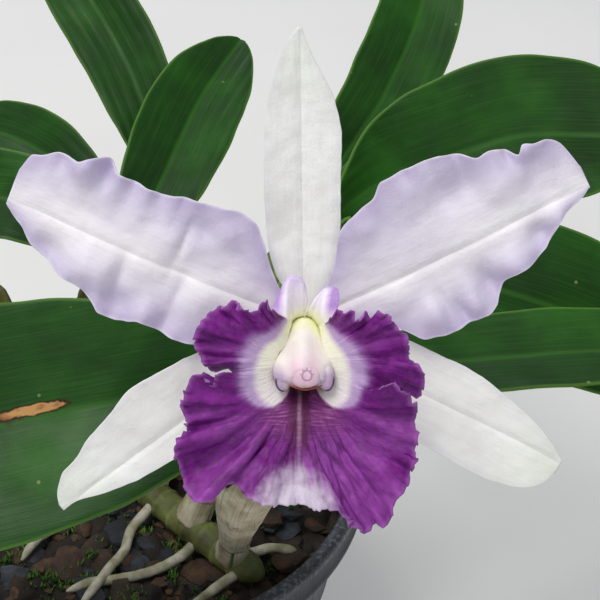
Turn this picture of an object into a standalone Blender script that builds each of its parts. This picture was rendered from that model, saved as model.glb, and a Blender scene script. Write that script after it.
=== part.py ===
"""A cattleya orchid in flower, in its nursery pot.

Units are metres and +Z is up. The origin is the middle of the pot's flat underside. The lists below are in
millimetres. The bloom is drawn in its own frame, with its centre at the origin, +Y towards the top sepal
and +Z out of its face, and an empty carries that frame to the end of the flower stalk.
"""

import math
import random

import bmesh
import bpy
from mathutils import Matrix, Vector

MM = 0.001
SEED = 11

# Pot: a round nursery pot of moulded plastic, with a thick rolled rim and holes in its base
POT_HEIGHT = 125
POT_BASE_RADIUS = 55
POT_SHOULDER_RADIUS = 74
POT_RIM_RADIUS = 80
POT_MOUTH_RADIUS = 75
POT_RIM_BAND = 14
POT_WALL = 2.2
POT_FLOOR = 2.5
DRAIN_COUNT = 6
DRAIN_RADIUS = 5
DRAIN_CIRCLE = 34
DRAIN_DEPTH = 12

# Bark mix that fills the pot
MIX_TOP = 106
MIX_CHIP = 13
MIX_CHIP_RISE = 4.0
MIX_CHIP_TILT = 0.32
MIX_CRACK = 3.5
MIX_CRACK_WIDTH = 1.6
MIX_GRID = 29
MIX_EDGE_DROP = 6
MIX_GAP = 0.6
MIX_DIP = 4.6
MIX_DIP_GAP = 0.7

# Rhizome, with its roots, and the pseudobulbs that stand on it, oldest last
RHIZOME = [(44, -42, 108), (30, -30, 108), (12, -12, 107), (-8, 8, 107), (-30, 26, 107), (-52, 44, 106)]
RHIZOME_RADIUS = 5.5
ROOT_COUNT = 11
ROOT_RADIUS = 1.8
ROOT_REACH = 52
ROOT_STEPS = 6
ROOT_SPREAD = 50
ROOT_WANDER = 22
ROOT_HEIGHT = 107.2
ROOT_UNEVEN = 0.8
ROOT_CLEARANCE = 9

# Each pseudobulb: name, where it stands on the rhizome, its top, and its greatest radius
BULBS = [
    ("pseudobulb_flowering", (33, -33, 108), (40, -50, 160), (56, -75, 223), 8.5),
    ("pseudobulb_second", (18, -18, 107), (38, -12, 158), (66, 2, 216), 9.0),
    ("pseudobulb_third", (2, -2, 107), (26, 18, 148), (58, 38, 188), 8.5),
    ("pseudobulb_fourth", (-16, 14, 107), (-14, 20, 142), (-4, 32, 178), 8.0),
    ("pseudobulb_fifth", (-34, 29, 107), (-22, 46, 142), (-4, 66, 172), 7.5),
    ("pseudobulb_oldest", (-43, 36, 106), (-50, 40, 134), (-55, 45, 160), 7.0),
]
BULB_GIRTH = [(0, 0.62), (0.12, 0.5), (0.35, 0.8), (0.62, 1.0), (0.85, 0.92), (0.96, 0.8), (1, 0.72)]
BULB_RIBS = 7
BULB_RIB_DEPTH = 0.05
SADDLE_GAP = 0.4

# Each leaf: name, its pseudobulb, which side of the top it leaves from, the points of its midrib after that,
# its greatest half width, the way its face looks at the base and at the tip, and its channel
LEAVES = [
    ("leaf_front_left", 0, (-1, 0), [(42, -79, 233), (4, -85, 230), (-34, -93, 226), (-84, -103, 208)],
     30, (0, -0.5, 0.85), (-0.1, -0.78, 0.62), 0.22),
    ("leaf_front_right", 0, (1, 0), [(74, -69, 227), (104, -63, 225.5), (140, -60, 226), (176, -58, 218)],
     15, (0, -0.05, 1), (0, 0, 1), 0.2),
    ("leaf_second_high", 1, (-0.4, 0.9), [(80, 14, 228), (101, 22, 232), (130, 28, 237), (170, 24, 238)],
     25, (-0.2, -0.65, 0.7), (0.1, -0.55, 0.83), 0.25),
    ("leaf_second_low", 1, (0.7, -0.7), [(83, -12, 222), (114, -22, 216), (150, -26, 203), (176, -28, 186)],
     23, (0, -0.5, 0.86), (0.1, -0.62, 0.78), 0.25),
    ("leaf_third_back", 2, (-0.5, 1), [(68, 62, 199), (88, 96, 213), (102, 132, 231), (106, 166, 254)],
     16, (0, -0.8, 0.6), (0, -0.9, 0.43), 0.3),
    ("leaf_third_right", 2, (0.5, -1), [(72, 42, 197), (84, 49, 204), (97, 61, 208), (109, 76, 207)],
     14, (-0.3, -0.6, 0.75), (0.2, -0.3, 0.93), 0.3),
    ("leaf_fourth_right", 3, (1, 0), [(2, 42, 189), (10, 64, 200), (20, 92, 210), (34, 122, 218)],
     17, (0.1, -0.8, 0.6), (0.1, -0.72, 0.7), 0.3),
    ("leaf_fourth_left", 3, (-1, 0), [(-16, 38, 190), (-40, 46, 199), (-70, 52, 196), (-102, 56, 180)],
     17, (0.1, -0.6, 0.8), (-0.3, -0.4, 0.85), 0.3),
    ("leaf_fifth_back", 4, (0.4, 1), [(4, 86, 188), (-5, 108, 209), (-26, 134, 236), (-50, 156, 260)],
     15, (0.1, -0.8, 0.6), (-0.1, -0.75, 0.66), 0.3),
    ("leaf_fifth_left", 4, (-0.6, -1), [(-17, 68, 185), (-37, 84, 193), (-57, 102, 190), (-77, 116, 176)],
     14, (0.1, -0.6, 0.8), (-0.3, -0.3, 0.9), 0.3),
]
LEAF_OUTLINE = [(0, 0.17), (0.05, 0.22), (0.18, 0.58), (0.36, 0.9), (0.56, 1), (0.76, 0.9), (0.9, 0.6),
                (0.97, 0.34), (1, 0.12)]
LEAF_THICKNESS = 1.8
LEAF_GAP = 0.3
LEAF_NECK = 6
LEAF_SET_OFF_FLOWERING = 5.2
LEAF_SET_OFF = 2.7
LEAF_TURN = 0.3
LEAF_ROWS = 14
LEAF_COLUMNS = 4
LEAF_CROWD = 1.35

# Flower stalk, from the top of the youngest pseudobulb to the back of the bloom, and the sheath at its foot
BLOOM_CENTRE = (57, -99, 266.5)
BLOOM_TILT = 68
STALK = [(56.2, -75.5, 224.9), (55.8, -73.6, 235), (55.9, -69.6, 245), (56.4, -68.4, 252), (56.8, -73, 257.6),
         (57, -81, 260.2), (57, -92, 263.8)]
STALK_GIRTH = [(0, 2.3), (0.35, 2.1), (0.55, 1.9), (0.62, 2.3), (0.8, 2.6), (0.93, 3.0), (1, 3.5)]
SPATHE = [(56.4, -70.2, 227.4), (55.7, -67.2, 240), (56, -62.6, 256)]
SPATHE_OUTLINE = [(0, 2.1), (0.3, 3.5), (0.55, 4.6), (0.8, 3.7), (1, 1.3)]
SPATHE_THICKNESS = 0.7
SPATHE_CHANNEL = 0.75

# Tepals: midrib in the bloom's frame as distance from the centre, side bend and height; then half widths left
# and right of the midrib, seen from the base, along its length
TEPAL_THICKNESS = 0.8
DORSAL_SEPAL = {
    "heading": 90.7, "base": (0, 0), "length": 68,
    "rise": [(0.06, -2.0), (0.35, -2.6), (0.7, -1.4), (1, 0.5)],
    "left": [(0.06, 2.2), (0.12, 2.8), (0.19, 5.6), (0.26, 7.0), (0.33, 7.6), (0.45, 8.0), (0.65, 7.8),
             (0.78, 6.8), (0.84, 5.7), (0.9, 4.2), (0.96, 2.5), (1, 0.4)],
    "right": [(0.06, 2.2), (0.12, 4.3), (0.19, 6.1), (0.26, 7.7), (0.36, 8.5), (0.52, 8.6), (0.65, 8.8),
              (0.77, 7.4), (0.84, 5.3), (0.9, 3.1), (0.96, 1.4), (1, 0.4)],
    "channel": 0.12, "waves": [],
}
LATERAL_SEPAL_LEFT = {
    "heading": -143.4, "base": (-1.1, -1.5), "length": 68.4,
    "rise": [(0.06, -2.0), (0.3, -1.4), (0.7, -0.2), (1, 1.5)],
    "left": [(0.06, 2.0), (0.15, 4.4), (0.3, 6.6), (0.45, 7.0), (0.6, 6.1), (0.73, 5.2), (0.8, 4.0),
             (0.87, 2.6), (0.93, 1.0), (0.97, 0.5), (1, 0.6)],
    "right": [(0.06, 2.0), (0.15, 6.2), (0.3, 11.2), (0.43, 12.7), (0.55, 13.6), (0.66, 11.5), (0.765, 10.0),
              (0.86, 7.6), (0.91, 7.0), (0.95, 5.3), (0.98, 3.5), (1, 1.2)],
    "channel": 0.1, "waves": [],
}
LATERAL_SEPAL_RIGHT = {
    "heading": -26.5, "base": (1.1, -1.5), "length": 65.1,
    "rise": [(0.06, -2.0), (0.3, -1.4), (0.7, -0.2), (1, 1.5)],
    "left": [(0.06, 2.0), (0.16, 6.5), (0.31, 10.1), (0.43, 10.2), (0.51, 10.4), (0.6, 9.9), (0.69, 8.7),
             (0.78, 7.1), (0.85, 5.8), (0.94, 3.0), (1, 0.4)],
    "right": [(0.06, 2.0), (0.16, 5.6), (0.31, 9.2), (0.45, 10.4), (0.6, 11.0), (0.78, 11.5), (0.86, 10.7),
              (0.92, 9.6), (0.95, 8.3), (0.98, 6.2), (1, 3.0)],
    "channel": 0.1, "waves": [],
}
PETAL_LEFT = {
    "heading": 155.7, "base": (-1.1, 3.8), "length": 68.5,
    "rise": [(0.035, 0.5), (0.12, 1.3), (0.3, 2.6), (0.65, 3.0), (1, 1.0)],
    "left": [(0.035, 1.7), (0.1, 4.5), (0.2, 10.6), (0.285, 14.2), (0.34, 14.7), (0.4, 14.5), (0.47, 13.6),
             (0.51, 15.1), (0.555, 15.9), (0.6, 15.5), (0.64, 13.6), (0.69, 11.9), (0.76, 11.1),
             (0.82, 9.7), (0.88, 7.9), (0.935, 4.6), (0.98, 2.7), (1, 1.4)],
    "right": [(0.035, 1.7), (0.1, 5.2), (0.15, 8.6), (0.22, 14.4), (0.26, 17.0), (0.32, 18.1), (0.38, 17.2),
              (0.45, 16.6), (0.51, 15.9), (0.57, 14.7), (0.64, 14.8), (0.71, 15.0), (0.76, 17.2),
              (0.8, 16.1), (0.84, 14.0), (0.9, 13.8), (0.95, 11.6), (0.98, 10.8), (1, 6.5)],
    "channel": 0.06,
    "waves": [(1, 0.3, 1.0, 5, 1.3, 0.4), (-1, 0.3, 1.0, 6, 1.6, 1.2)],
}
PETAL_RIGHT = {
    "heading": 27.3, "base": (1.1, 3.8), "length": 67.8,
    "rise": [(0.035, 0.5), (0.12, 1.3), (0.3, 2.6), (0.65, 3.0), (1, 1.0)],
    "left": [(0.035, 1.7), (0.1, 4.9), (0.17, 9.6), (0.24, 15.9), (0.32, 18.0), (0.37, 18.8), (0.42, 21.3),
             (0.5, 21.7), (0.6, 21.2), (0.67, 19.5), (0.72, 16.9), (0.77, 16.5), (0.81, 15.2),
             (0.834, 13.5), (0.86, 15.1), (0.89, 14.1), (0.935, 13.3), (0.97, 11.2), (1, 4.0)],
    "right": [(0.035, 1.7), (0.1, 4.5), (0.18, 6.6), (0.26, 10.6), (0.32, 15.1), (0.4, 16.2), (0.53, 16.3),
              (0.57, 15.5), (0.6, 13.2), (0.63, 11.2), (0.67, 10.3), (0.73, 9.9), (0.79, 8.9), (0.845, 5.8),
              (0.89, 3.5), (0.96, 2.3), (1, 0.8)],
    "channel": 0.06,
    "waves": [(1, 0.3, 1.0, 5, 1.6, 0.9), (-1, 0.3, 1.0, 5, 1.3, 2.0)],
}

# Lip: one sheet that rolls round the column as a tube and spreads at the mouth. Each lobe gives the arc of
# the mouth that it stands on, in degrees, its columns of faces, its ruffles and its margin
LIP_THICKNESS = 0.6
LIP_CENTRE = Vector((0, -0.8, 0))
LIP_ROWS = 8
LIP_FOOT_RADIUS = 4.6
LIP_MOUTH_RADIUS = [(97, 7.0), (109, 9.2), (131, 8.3), (153, 9.4), (180, 9.8), (210, 10.6), (270, 10.8),
                    (324, 10.9), (347, 9.8), (373, 9.2), (403, 8.5), (419, 9.0), (443, 7.0)]
LIP_MOUTH_HEIGHT = [(97, 6.5), (104, 9.5), (113, 13), (135, 17.5), (160, 19.5), (180, 20), (225, 20.5),
                    (320, 20.5), (360, 20), (385, 19), (405, 17), (419, 13), (432, 9.5), (443, 6.5)]
LIP_LOBES = [
    ("left horn", 97, 113, 6, 0, [
        (-0.5, 8.4, 7.6), (0.4, 11.0, 8.8), (0.5, 14.0, 9.7), (-0.9, 16.6, 10), (-2.2, 17.3, 10),
        (-3.4, 16.8, 10.5), (-4.3, 14.1, 11), (-4.9, 11.8, 13), (-5.0, 9.9, 15)]),
    ("left side lobe", 113, 180, 18, 4, [
        (-4.9, 10.4, 17), (-6.9, 13.0, 20), (-8.5, 14.6, 22), (-9.5, 12.4, 20), (-11.6, 12.8, 22),
        (-13.0, 14.4, 22.5), (-15.3, 14.0, 21), (-18.9, 12.2, 20), (-21.5, 10.1, 21.5), (-22.9, 5.4, 19.5),
        (-21.6, 1.9, 19.5), (-20.8, 0.7, 20.5), (-18.6, -1.3, 18.5), (-16.1, -0.6, 18.8), (-14.6, -2.0, 19)]),
    ("middle lobe", 180, 346, 50, 9, [
        (-14.6, -3.4, 21.5), (-16.5, -1.2, 24), (-18.1, -2.0, 25), (-18.9, -3.4, 24.6), (-19.8, -2.6, 24.8),
        (-21.0, -0.8, 26.2), (-22.5, -1.3, 26), (-24.9, -4.4, 24), (-25.8, -7.7, 22.5), (-24.6, -11.0, 24.5),
        (-24.7, -13.6, 23), (-26.5, -13.4, 26), (-27.3, -16.1, 26), (-26.2, -21.2, 25), (-24.8, -25.5, 27),
        (-21.9, -26.9, 28.5), (-20.0, -26.9, 28.5), (-18.6, -25.3, 27), (-15.2, -24.4, 27),
        (-11.0, -27.1, 27.5), (-7.9, -27.2, 29), (-3.7, -27.9, 28.5), (0.5, -28.2, 29), (2.8, -29.3, 29.5),
        (4.8, -28.6, 28.5), (6.9, -28.7, 28.5), (8.9, -29.8, 29), (10.2, -31.8, 30), (13.4, -34.4, 30),
        (15.2, -32.8, 28.5), (16.8, -33.0, 28.5), (18.6, -31.2, 27), (19.4, -28.1, 26.5), (22.3, -24.4, 27),
        (22.5, -22.2, 25.5), (23.9, -19.0, 26), (23.4, -17.2, 24.5), (24.2, -13.6, 25.5), (23.4, -11.2, 24),
        (23.8, -8.3, 25), (22.4, -4.6, 27), (20.7, -2.0, 28), (18.6, -0.6, 28.5), (16.8, -1.2, 27.8),
        (15.6, -3.2, 26), (14.8, -6.0, 23.5)]),
    ("right side lobe", 346, 419, 19, 4, [
        (14.6, -8.0, 20.5), (19.6, -9.5, 18), (22.8, -8.3, 18), (24.8, -6.4, 19), (25.6, -2.9, 19.5),
        (23.9, 1.0, 20.5), (22.0, 2.4, 19.5), (22.1, 4.0, 20), (21.4, 6.8, 21), (19.7, 8.8, 20),
        (16.7, 12.2, 22.5), (14.8, 9.8, 20), (13.1, 11.7, 22), (11.0, 11.5, 21.5), (9.6, 12.8, 22),
        (8.3, 12.7, 21.5), (6.5, 11.8, 20.5), (5.4, 9.2, 17.5)]),
    ("right horn", 419, 443, 6, 0, [
        (5.6, 8.4, 15), (7.2, 10.0, 13), (7.7, 12.4, 11.5), (7.4, 14.1, 10.5), (5.9, 14.5, 10.5),
        (4.0, 13.1, 9.6), (2.8, 10.4, 7.8), (2.2, 8.2, 6.8)]),
]
LIP_RUFFLE = 1.1
LIP_BRIM = 0.34
LIP_BRIM_FLARE = 0.55

# Column and the anther cap at its end: height above the bloom's centre, offset in Y, half width and half
# height
COLUMN = [(0.2, 0.0, 3.0, 3.0), (5, 0.4, 3.2, 3.0), (11, 0.6, 3.9, 3.2), (16, 0.1, 5.0, 3.3),
          (19.5, -1.0, 5.8, 3.1), (21.5, -2.0, 5.4, 2.7), (22.6, -2.7, 3.9, 1.9)]
CAP_CENTRE = (0.3, -1.5, 22.8)
CAP_SIZE = (3.0, 2.4, 1.8)
CAP_SEAT = 1.12
CAP_SEAT_RISE = 1.18

COLOURS = {
    "pot_plastic": ("#2B3038", 0.45),
    "bark_mix": ("#2A2119", 0.9),
    "rhizome_skin": ("#5F6B33", 0.6),
    "bulb_skin": ("#5E7A35", 0.5),
    "dry_sheath": ("#B7A78A", 0.8),
    "leaf_skin": ("#2E6A2C", 0.38),
    "stalk_skin": ("#7C9A50", 0.5),
    "sepal_white": ("#E6E6EA", 0.5),
    "petal_lavender": ("#D6CDE6", 0.5),
    "lip_magenta": ("#7B2188", 0.5),
    "column_cream": ("#EADFE0", 0.45),
}

collection = bpy.data.collections.new("cattleya_orchid")
cutters = bpy.data.collections.new("cutters")


def clear_scene():
    """Removes all that Blender starts with, and links the part's two collections."""
    for obj in list(bpy.data.objects):
        bpy.data.objects.remove(obj, do_unlink=True)
    for extra in (collection, cutters):
        bpy.context.scene.collection.children.link(extra)


def linear(hex_colour):
    """The linear RGB of an sRGB hex colour."""
    channels = [int(hex_colour[i : i + 2], 16) / 255 for i in (1, 3, 5)]
    return [c / 12.92 if c <= 0.04045 else ((c + 0.055) / 1.055) ** 2.4 for c in channels]


def material(name):
    """The part's material of this name, made at its first use."""
    found = bpy.data.materials.get(name)
    if found:
        return found
    colour, roughness = COLOURS[name]
    made = bpy.data.materials.new(name)
    made.use_nodes = True
    shader = made.node_tree.nodes["Principled BSDF"]
    shader.inputs["Base Color"].default_value = (*linear(colour), 1)
    shader.inputs["Roughness"].default_value = roughness
    shader.inputs["Metallic"].default_value = 0
    return made


def keep(name, bm, skin, parent=None, home=None):
    """The bmesh, drawn in millimetres, as an object of the part."""
    bmesh.ops.scale(bm, vec=(MM, MM, MM), verts=bm.verts)
    mesh = bpy.data.meshes.new(name)
    bm.to_mesh(mesh)
    bm.free()
    mesh.shade_smooth()
    mesh.set_sharp_from_angle(angle=math.radians(50))
    obj = bpy.data.objects.new(name, mesh)
    obj.data.materials.append(material(skin))
    obj.parent = parent
    (home or collection).objects.link(obj)
    return obj


def smooth(stations, t):
    """The value at t of a list of (t, value), on a smooth line that has no humps between them."""
    if t <= stations[0][0]:
        return stations[0][1]
    if t >= stations[-1][0]:
        return stations[-1][1]
    i = max(k for k in range(len(stations) - 1) if stations[k][0] <= t)

    def slope(k):
        if k in (0, len(stations) - 1):
            a, b = (0, 1) if k == 0 else (k - 1, k)
            return (stations[b][1] - stations[a][1]) / (stations[b][0] - stations[a][0])
        before = (stations[k][1] - stations[k - 1][1]) / (stations[k][0] - stations[k - 1][0])
        after = (stations[k + 1][1] - stations[k][1]) / (stations[k + 1][0] - stations[k][0])
        return 0 if before * after <= 0 else 2 * before * after / (before + after)

    (t0, v0), (t1, v1) = stations[i], stations[i + 1]
    h = t1 - t0
    u = (t - t0) / h
    rising = u * u * (3 - 2 * u)
    bend = h * (u * (1 - u) ** 2 * slope(i) - u * u * (1 - u) * slope(i + 1))
    return v0 + (v1 - v0) * rising + bend


def through(points):
    """A function from 0..1 to a point on the smooth line through the points, even along its length."""
    places = [0.0]
    for a, b in zip(points, points[1:]):
        places.append(places[-1] + (Vector(b) - Vector(a)).length)
    axes = [[(s / places[-1], p[k]) for s, p in zip(places, points)] for k in range(3)]
    return lambda t: Vector([smooth(axis, t) for axis in axes])


def heading_of(route, t, step=0.01):
    """The way that a route runs at t."""
    return (route(min(1, t + step)) - route(max(0, t - step))).normalized()


def blade(name, skin, route, left, right, face, thickness, channel=0.0, waves=(), rows=18, columns=8,
          crowd=1.0, parent=None):
    """A leaf or tepal: a sheet along a midrib, of a given half width each side, its face towards face(t).

    The channel is how steeply the two halves rise from the midrib. A wave is (side, start, end, count,
    height, phase), and lifts that side's margin by turns. A crowd above 1 puts the rows closer towards the
    base. The sheet is split into triangles before it gets its thickness, so both its faces are split alike.
    """
    bm = bmesh.new()
    bmesh.ops.create_grid(bm, x_segments=rows, y_segments=columns, size=1)
    for vert in bm.verts:
        t = ((vert.co.x + 1) / 2) ** crowd
        across = vert.co.y
        ahead = heading_of(route, t)
        side = face(t).cross(ahead).normalized()
        up = ahead.cross(side).normalized()
        side_sign = 1 if across > 0 else -1
        half = smooth(left if across > 0 else right, t)
        out = across * half
        lift = channel * abs(out)
        for wave_side, start, end, count, height, phase in waves:
            if wave_side == side_sign and start < t < end:
                u = (t - start) / (end - start)
                wave = math.sin(2 * math.pi * count * u + phase) * math.sin(math.pi * u) ** 0.5
                lift += height * wave * across**2
        vert.co = route(t) + side * out + up * lift
    bmesh.ops.triangulate(bm, faces=bm.faces[:])
    obj = keep(name, bm, skin, parent)
    wall = obj.modifiers.new("thickness", "SOLIDIFY")
    wall.thickness = thickness * MM
    wall.offset = 0
    return obj


def stem(name, skin, route, width, height=None, sides=12, rings=8, ribs=0, rib_depth=0.0, parent=None,
         home=None):
    """A round or oval stem along a route, its half width and half height given along it.

    Its sides are counted from the world axis that the route runs along least, so that it has no twist.
    """
    chord = route(1) - route(0)
    level = Vector([k == min(range(3), key=lambda axis: abs(chord[axis])) for k in range(3)])
    bm = bmesh.new()
    bmesh.ops.create_cone(bm, cap_ends=True, segments=sides, radius1=1, radius2=1, depth=1)
    lengthwise = [e for e in bm.edges if abs(e.verts[0].co.z - e.verts[1].co.z) > 0.5]
    bmesh.ops.subdivide_edges(bm, edges=lengthwise, cuts=rings - 1, use_grid_fill=True)
    for vert in bm.verts:
        t = vert.co.z + 0.5
        turn = math.atan2(vert.co.y, vert.co.x)
        ahead = heading_of(route, t)
        side = (level - ahead * level.dot(ahead)).normalized()
        up = ahead.cross(side).normalized()
        rib = 1 + rib_depth * math.cos(ribs * turn)
        half_width = smooth(width, t) * rib
        half_height = smooth(height, t) * rib if height else half_width
        vert.co = route(t) + side * math.cos(turn) * half_width + up * math.sin(turn) * half_height
    return keep(name, bm, skin, parent, home)


def baked(obj):
    """Applies an object's modifiers."""
    graph = bpy.context.evaluated_depsgraph_get()
    graph.update()
    mesh = bpy.data.meshes.new_from_object(obj.evaluated_get(graph))
    obj.modifiers.clear()
    obj.data = mesh
    return obj


def mouth_ring(turn):
    """The point of the lip's mouth at an angle in degrees."""
    radius = smooth(LIP_MOUTH_RADIUS, turn)
    angle = math.radians(turn)
    height = smooth(LIP_MOUTH_HEIGHT, turn)
    return LIP_CENTRE + Vector((radius * math.cos(angle), radius * math.sin(angle), height))


def lip_columns():
    """For each column of faces round the lip: the angle of its foot and mouth, its margin and its ruffle."""
    found = []
    for index, (_, start, end, count, ruffles, margin) in enumerate(LIP_LOBES):
        edge = through(margin)
        for k in range(count + (index == len(LIP_LOBES) - 1)):
            t = k / count
            wave = math.sin(2 * math.pi * ruffles * t) * math.sin(math.pi * t) ** 0.5
            found.append((start + (end - start) * t, edge(t), wave))
    return found


def lip_line(turn, margin, wave):
    """The points of the lip from its foot to its margin at one angle."""
    angle = math.radians(turn)
    out = Vector((math.cos(angle), math.sin(angle), 0))
    mouth = mouth_ring(turn)
    foot = out * LIP_FOOT_RADIUS + Vector((0, 0, 1.6 + 0.8 * math.sin(angle)))
    throat = foot.lerp(mouth, 0.45) + out * 0.6 - Vector((0, 0, 0.8))
    reach = (margin - mouth).length * LIP_BRIM
    way = (margin - mouth).normalized().lerp(out, LIP_BRIM_FLARE)
    brim = mouth + way * reach + Vector((0, 0, 1.2 * min(1, (margin - mouth).length / 12)))
    edge = margin + Vector((0, 0, LIP_RUFFLE * wave))
    return through([foot, throat, mouth, brim, edge])


def lip(parent):
    """The lip's lines, side by side round the column, as one sheet with ruffled lobes."""
    stations = lip_columns()
    bm = bmesh.new()
    bmesh.ops.create_grid(bm, x_segments=len(stations) - 1, y_segments=LIP_ROWS, size=1)
    lines = [lip_line(*station) for station in stations]
    for vert in bm.verts:
        column = round((vert.co.x + 1) / 2 * (len(stations) - 1))
        vert.co = lines[column]((vert.co.y + 1) / 2)
    bmesh.ops.triangulate(bm, faces=bm.faces[:])
    obj = keep("lip", bm, "lip_magenta", parent)
    wall = obj.modifiers.new("thickness", "SOLIDIFY")
    wall.thickness = LIP_THICKNESS * MM
    wall.offset = 0


def tepal(name, skin, shape, rows, columns, parent):
    """A sepal or petal from its measures."""
    angle = math.radians(shape["heading"])
    ahead = Vector((math.cos(angle), math.sin(angle), 0))
    base = Vector((*shape["base"], 0))
    start = shape["rise"][0][0]

    def route(t):
        s = start + (1 - start) * t
        return base + ahead * shape["length"] * s + Vector((0, 0, smooth(shape["rise"], s)))

    def part_of(stations):
        return [((s - start) / (1 - start), half) for s, half in stations]

    waves = [(side, (a - start) / (1 - start), 1.0, *rest) for side, a, _, *rest in shape["waves"]]
    blade(name, skin, route, part_of(shape["left"]), part_of(shape["right"]), lambda t: Vector((0, 0, 1)),
          TEPAL_THICKNESS, shape["channel"], waves, rows, columns, parent=parent)


def column_and_cap(parent):
    """The column arches over the lip's throat. The anther cap sits in a notch at its end."""
    route = through([(0, y, z) for z, y, _, _ in COLUMN])
    span = [z for z, *_ in COLUMN]
    place = [(z - span[0]) / (span[-1] - span[0]) for z in span]
    width = [(p, row[2]) for p, row in zip(place, COLUMN)]
    height = [(p, row[3]) for p, row in zip(place, COLUMN)]
    body = stem("column", "column_cream", route, width, height, 16, 10, parent=parent)
    for suffix, size, home in (("seat", CAP_SEAT, cutters), ("", 1.0, collection)):
        bm = bmesh.new()
        bmesh.ops.create_uvsphere(bm, u_segments=14, v_segments=8, radius=size)
        bmesh.ops.scale(bm, vec=CAP_SIZE, verts=bm.verts)
        bmesh.ops.translate(bm, vec=CAP_CENTRE, verts=bm.verts)
        if size > 1:
            keep_centre = Matrix.Translation(-Vector(CAP_CENTRE))
            bmesh.ops.scale(bm, vec=(1, 1, CAP_SEAT_RISE), space=keep_centre, verts=bm.verts)
        name = "anther_cap_" + suffix if suffix else "anther_cap"
        obj = keep(name, bm, "column_cream", parent, home)
        if suffix:
            obj.hide_render = True
            obj.display_type = "WIRE"
            cut = body.modifiers.new("cap seat", "BOOLEAN")
            cut.object = obj


def bloom():
    """The flower's pieces, all in the frame of the bloom."""
    frame = bpy.data.objects.new("bloom_frame", None)
    collection.objects.link(frame)
    frame.location = [v * MM for v in BLOOM_CENTRE]
    frame.rotation_euler = (math.radians(BLOOM_TILT), 0, 0)
    tepal("dorsal_sepal", "sepal_white", DORSAL_SEPAL, 16, 6, frame)
    tepal("lateral_sepal_left", "sepal_white", LATERAL_SEPAL_LEFT, 18, 6, frame)
    tepal("lateral_sepal_right", "sepal_white", LATERAL_SEPAL_RIGHT, 16, 6, frame)
    tepal("petal_left", "petal_lavender", PETAL_LEFT, 26, 8, frame)
    tepal("petal_right", "petal_lavender", PETAL_RIGHT, 26, 8, frame)
    lip(frame)
    column_and_cap(frame)


def stalk():
    """The flower stalk, with the ridged ovary at its end, and the dry spathe that it grew out of."""
    stem("flower_stalk", "stalk_skin", through(STALK), STALK_GIRTH, None, 12, 18, 6, 0.05)
    blade("spathe", "dry_sheath", through(SPATHE), SPATHE_OUTLINE, SPATHE_OUTLINE,
          lambda t: Vector((0, -1, 0.1)), SPATHE_THICKNESS, SPATHE_CHANNEL, (), 8, 6)


def pseudobulbs():
    """Club-shaped pseudobulbs with ribs, each saddled on the rhizome and cut flat at its top."""
    girth = RHIZOME_RADIUS + SADDLE_GAP
    clearance = stem("rhizome_clearance", "rhizome_skin", through(RHIZOME), [(0, girth), (1, girth)], None,
                     12, 14, home=cutters)
    clearance.hide_render = True
    clearance.display_type = "WIRE"
    for name, foot, middle, top, girth in BULBS:
        width = [(t, girth * w) for t, w in BULB_GIRTH]
        route = through([foot, middle, top])
        bulb = stem(name, "bulb_skin", route, width, None, 14, 12, BULB_RIBS, BULB_RIB_DEPTH)
        saddle = bulb.modifiers.new("saddle", "BOOLEAN")
        saddle.object = clearance


def leaves():
    """Each leaf leaves its pseudobulb upright, then turns its face by its own measures."""
    for name, bulb, (aside, back), points, half_width, face_low, face_high, channel in LEAVES:
        top = Vector(BULBS[bulb][3])
        ahead = (top - Vector(BULBS[bulb][2])).normalized()
        offset = Vector((aside, back, 0)).normalized() * (LEAF_SET_OFF if bulb else LEAF_SET_OFF_FLOWERING)
        offset -= ahead * offset.dot(ahead)
        root = top + offset + ahead * (LEAF_GAP + LEAF_THICKNESS * 0.5)
        route = through([root, root + ahead * LEAF_NECK + offset * 0.35, *points])
        width = [(t, half_width * w) for t, w in LEAF_OUTLINE]
        low = -offset.normalized()
        middle, high = Vector(face_low).normalized(), Vector(face_high).normalized()

        def face(t):
            near = min(1, t / LEAF_TURN)
            near = near * near * (3 - 2 * near)
            return low.lerp(middle.lerp(high, t), near)

        blade(name, "leaf_skin", route, width, width, face, LEAF_THICKNESS, channel, (), LEAF_ROWS,
              LEAF_COLUMNS, LEAF_CROWD)


def resting_lines():
    """The roots' routes over the bark mix, as lists of points, the same for the roots and for the mix."""
    draw = random.Random(SEED)
    spine = through(RHIZOME)
    lines = []
    for k in range(ROOT_COUNT):
        start = spine(0.06 + 0.88 * k / (ROOT_COUNT - 1))
        turn = math.radians(draw.uniform(-ROOT_SPREAD, ROOT_SPREAD) + (45 if k % 2 else 225))
        points = [start + Vector((0, 0, -1.5))]
        for _ in range(ROOT_STEPS):
            turn += math.radians(draw.uniform(-ROOT_WANDER, ROOT_WANDER))
            ahead = points[-1] + Vector((math.cos(turn), math.sin(turn), 0)) * ROOT_REACH / ROOT_STEPS
            if math.hypot(ahead.x, ahead.y) > POT_SHOULDER_RADIUS - ROOT_CLEARANCE:
                break
            ahead.z = ROOT_HEIGHT + draw.uniform(-ROOT_UNEVEN, ROOT_UNEVEN)
            points.append(ahead)
        if len(points) > 2:
            lines.append(points)
    return lines


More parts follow.
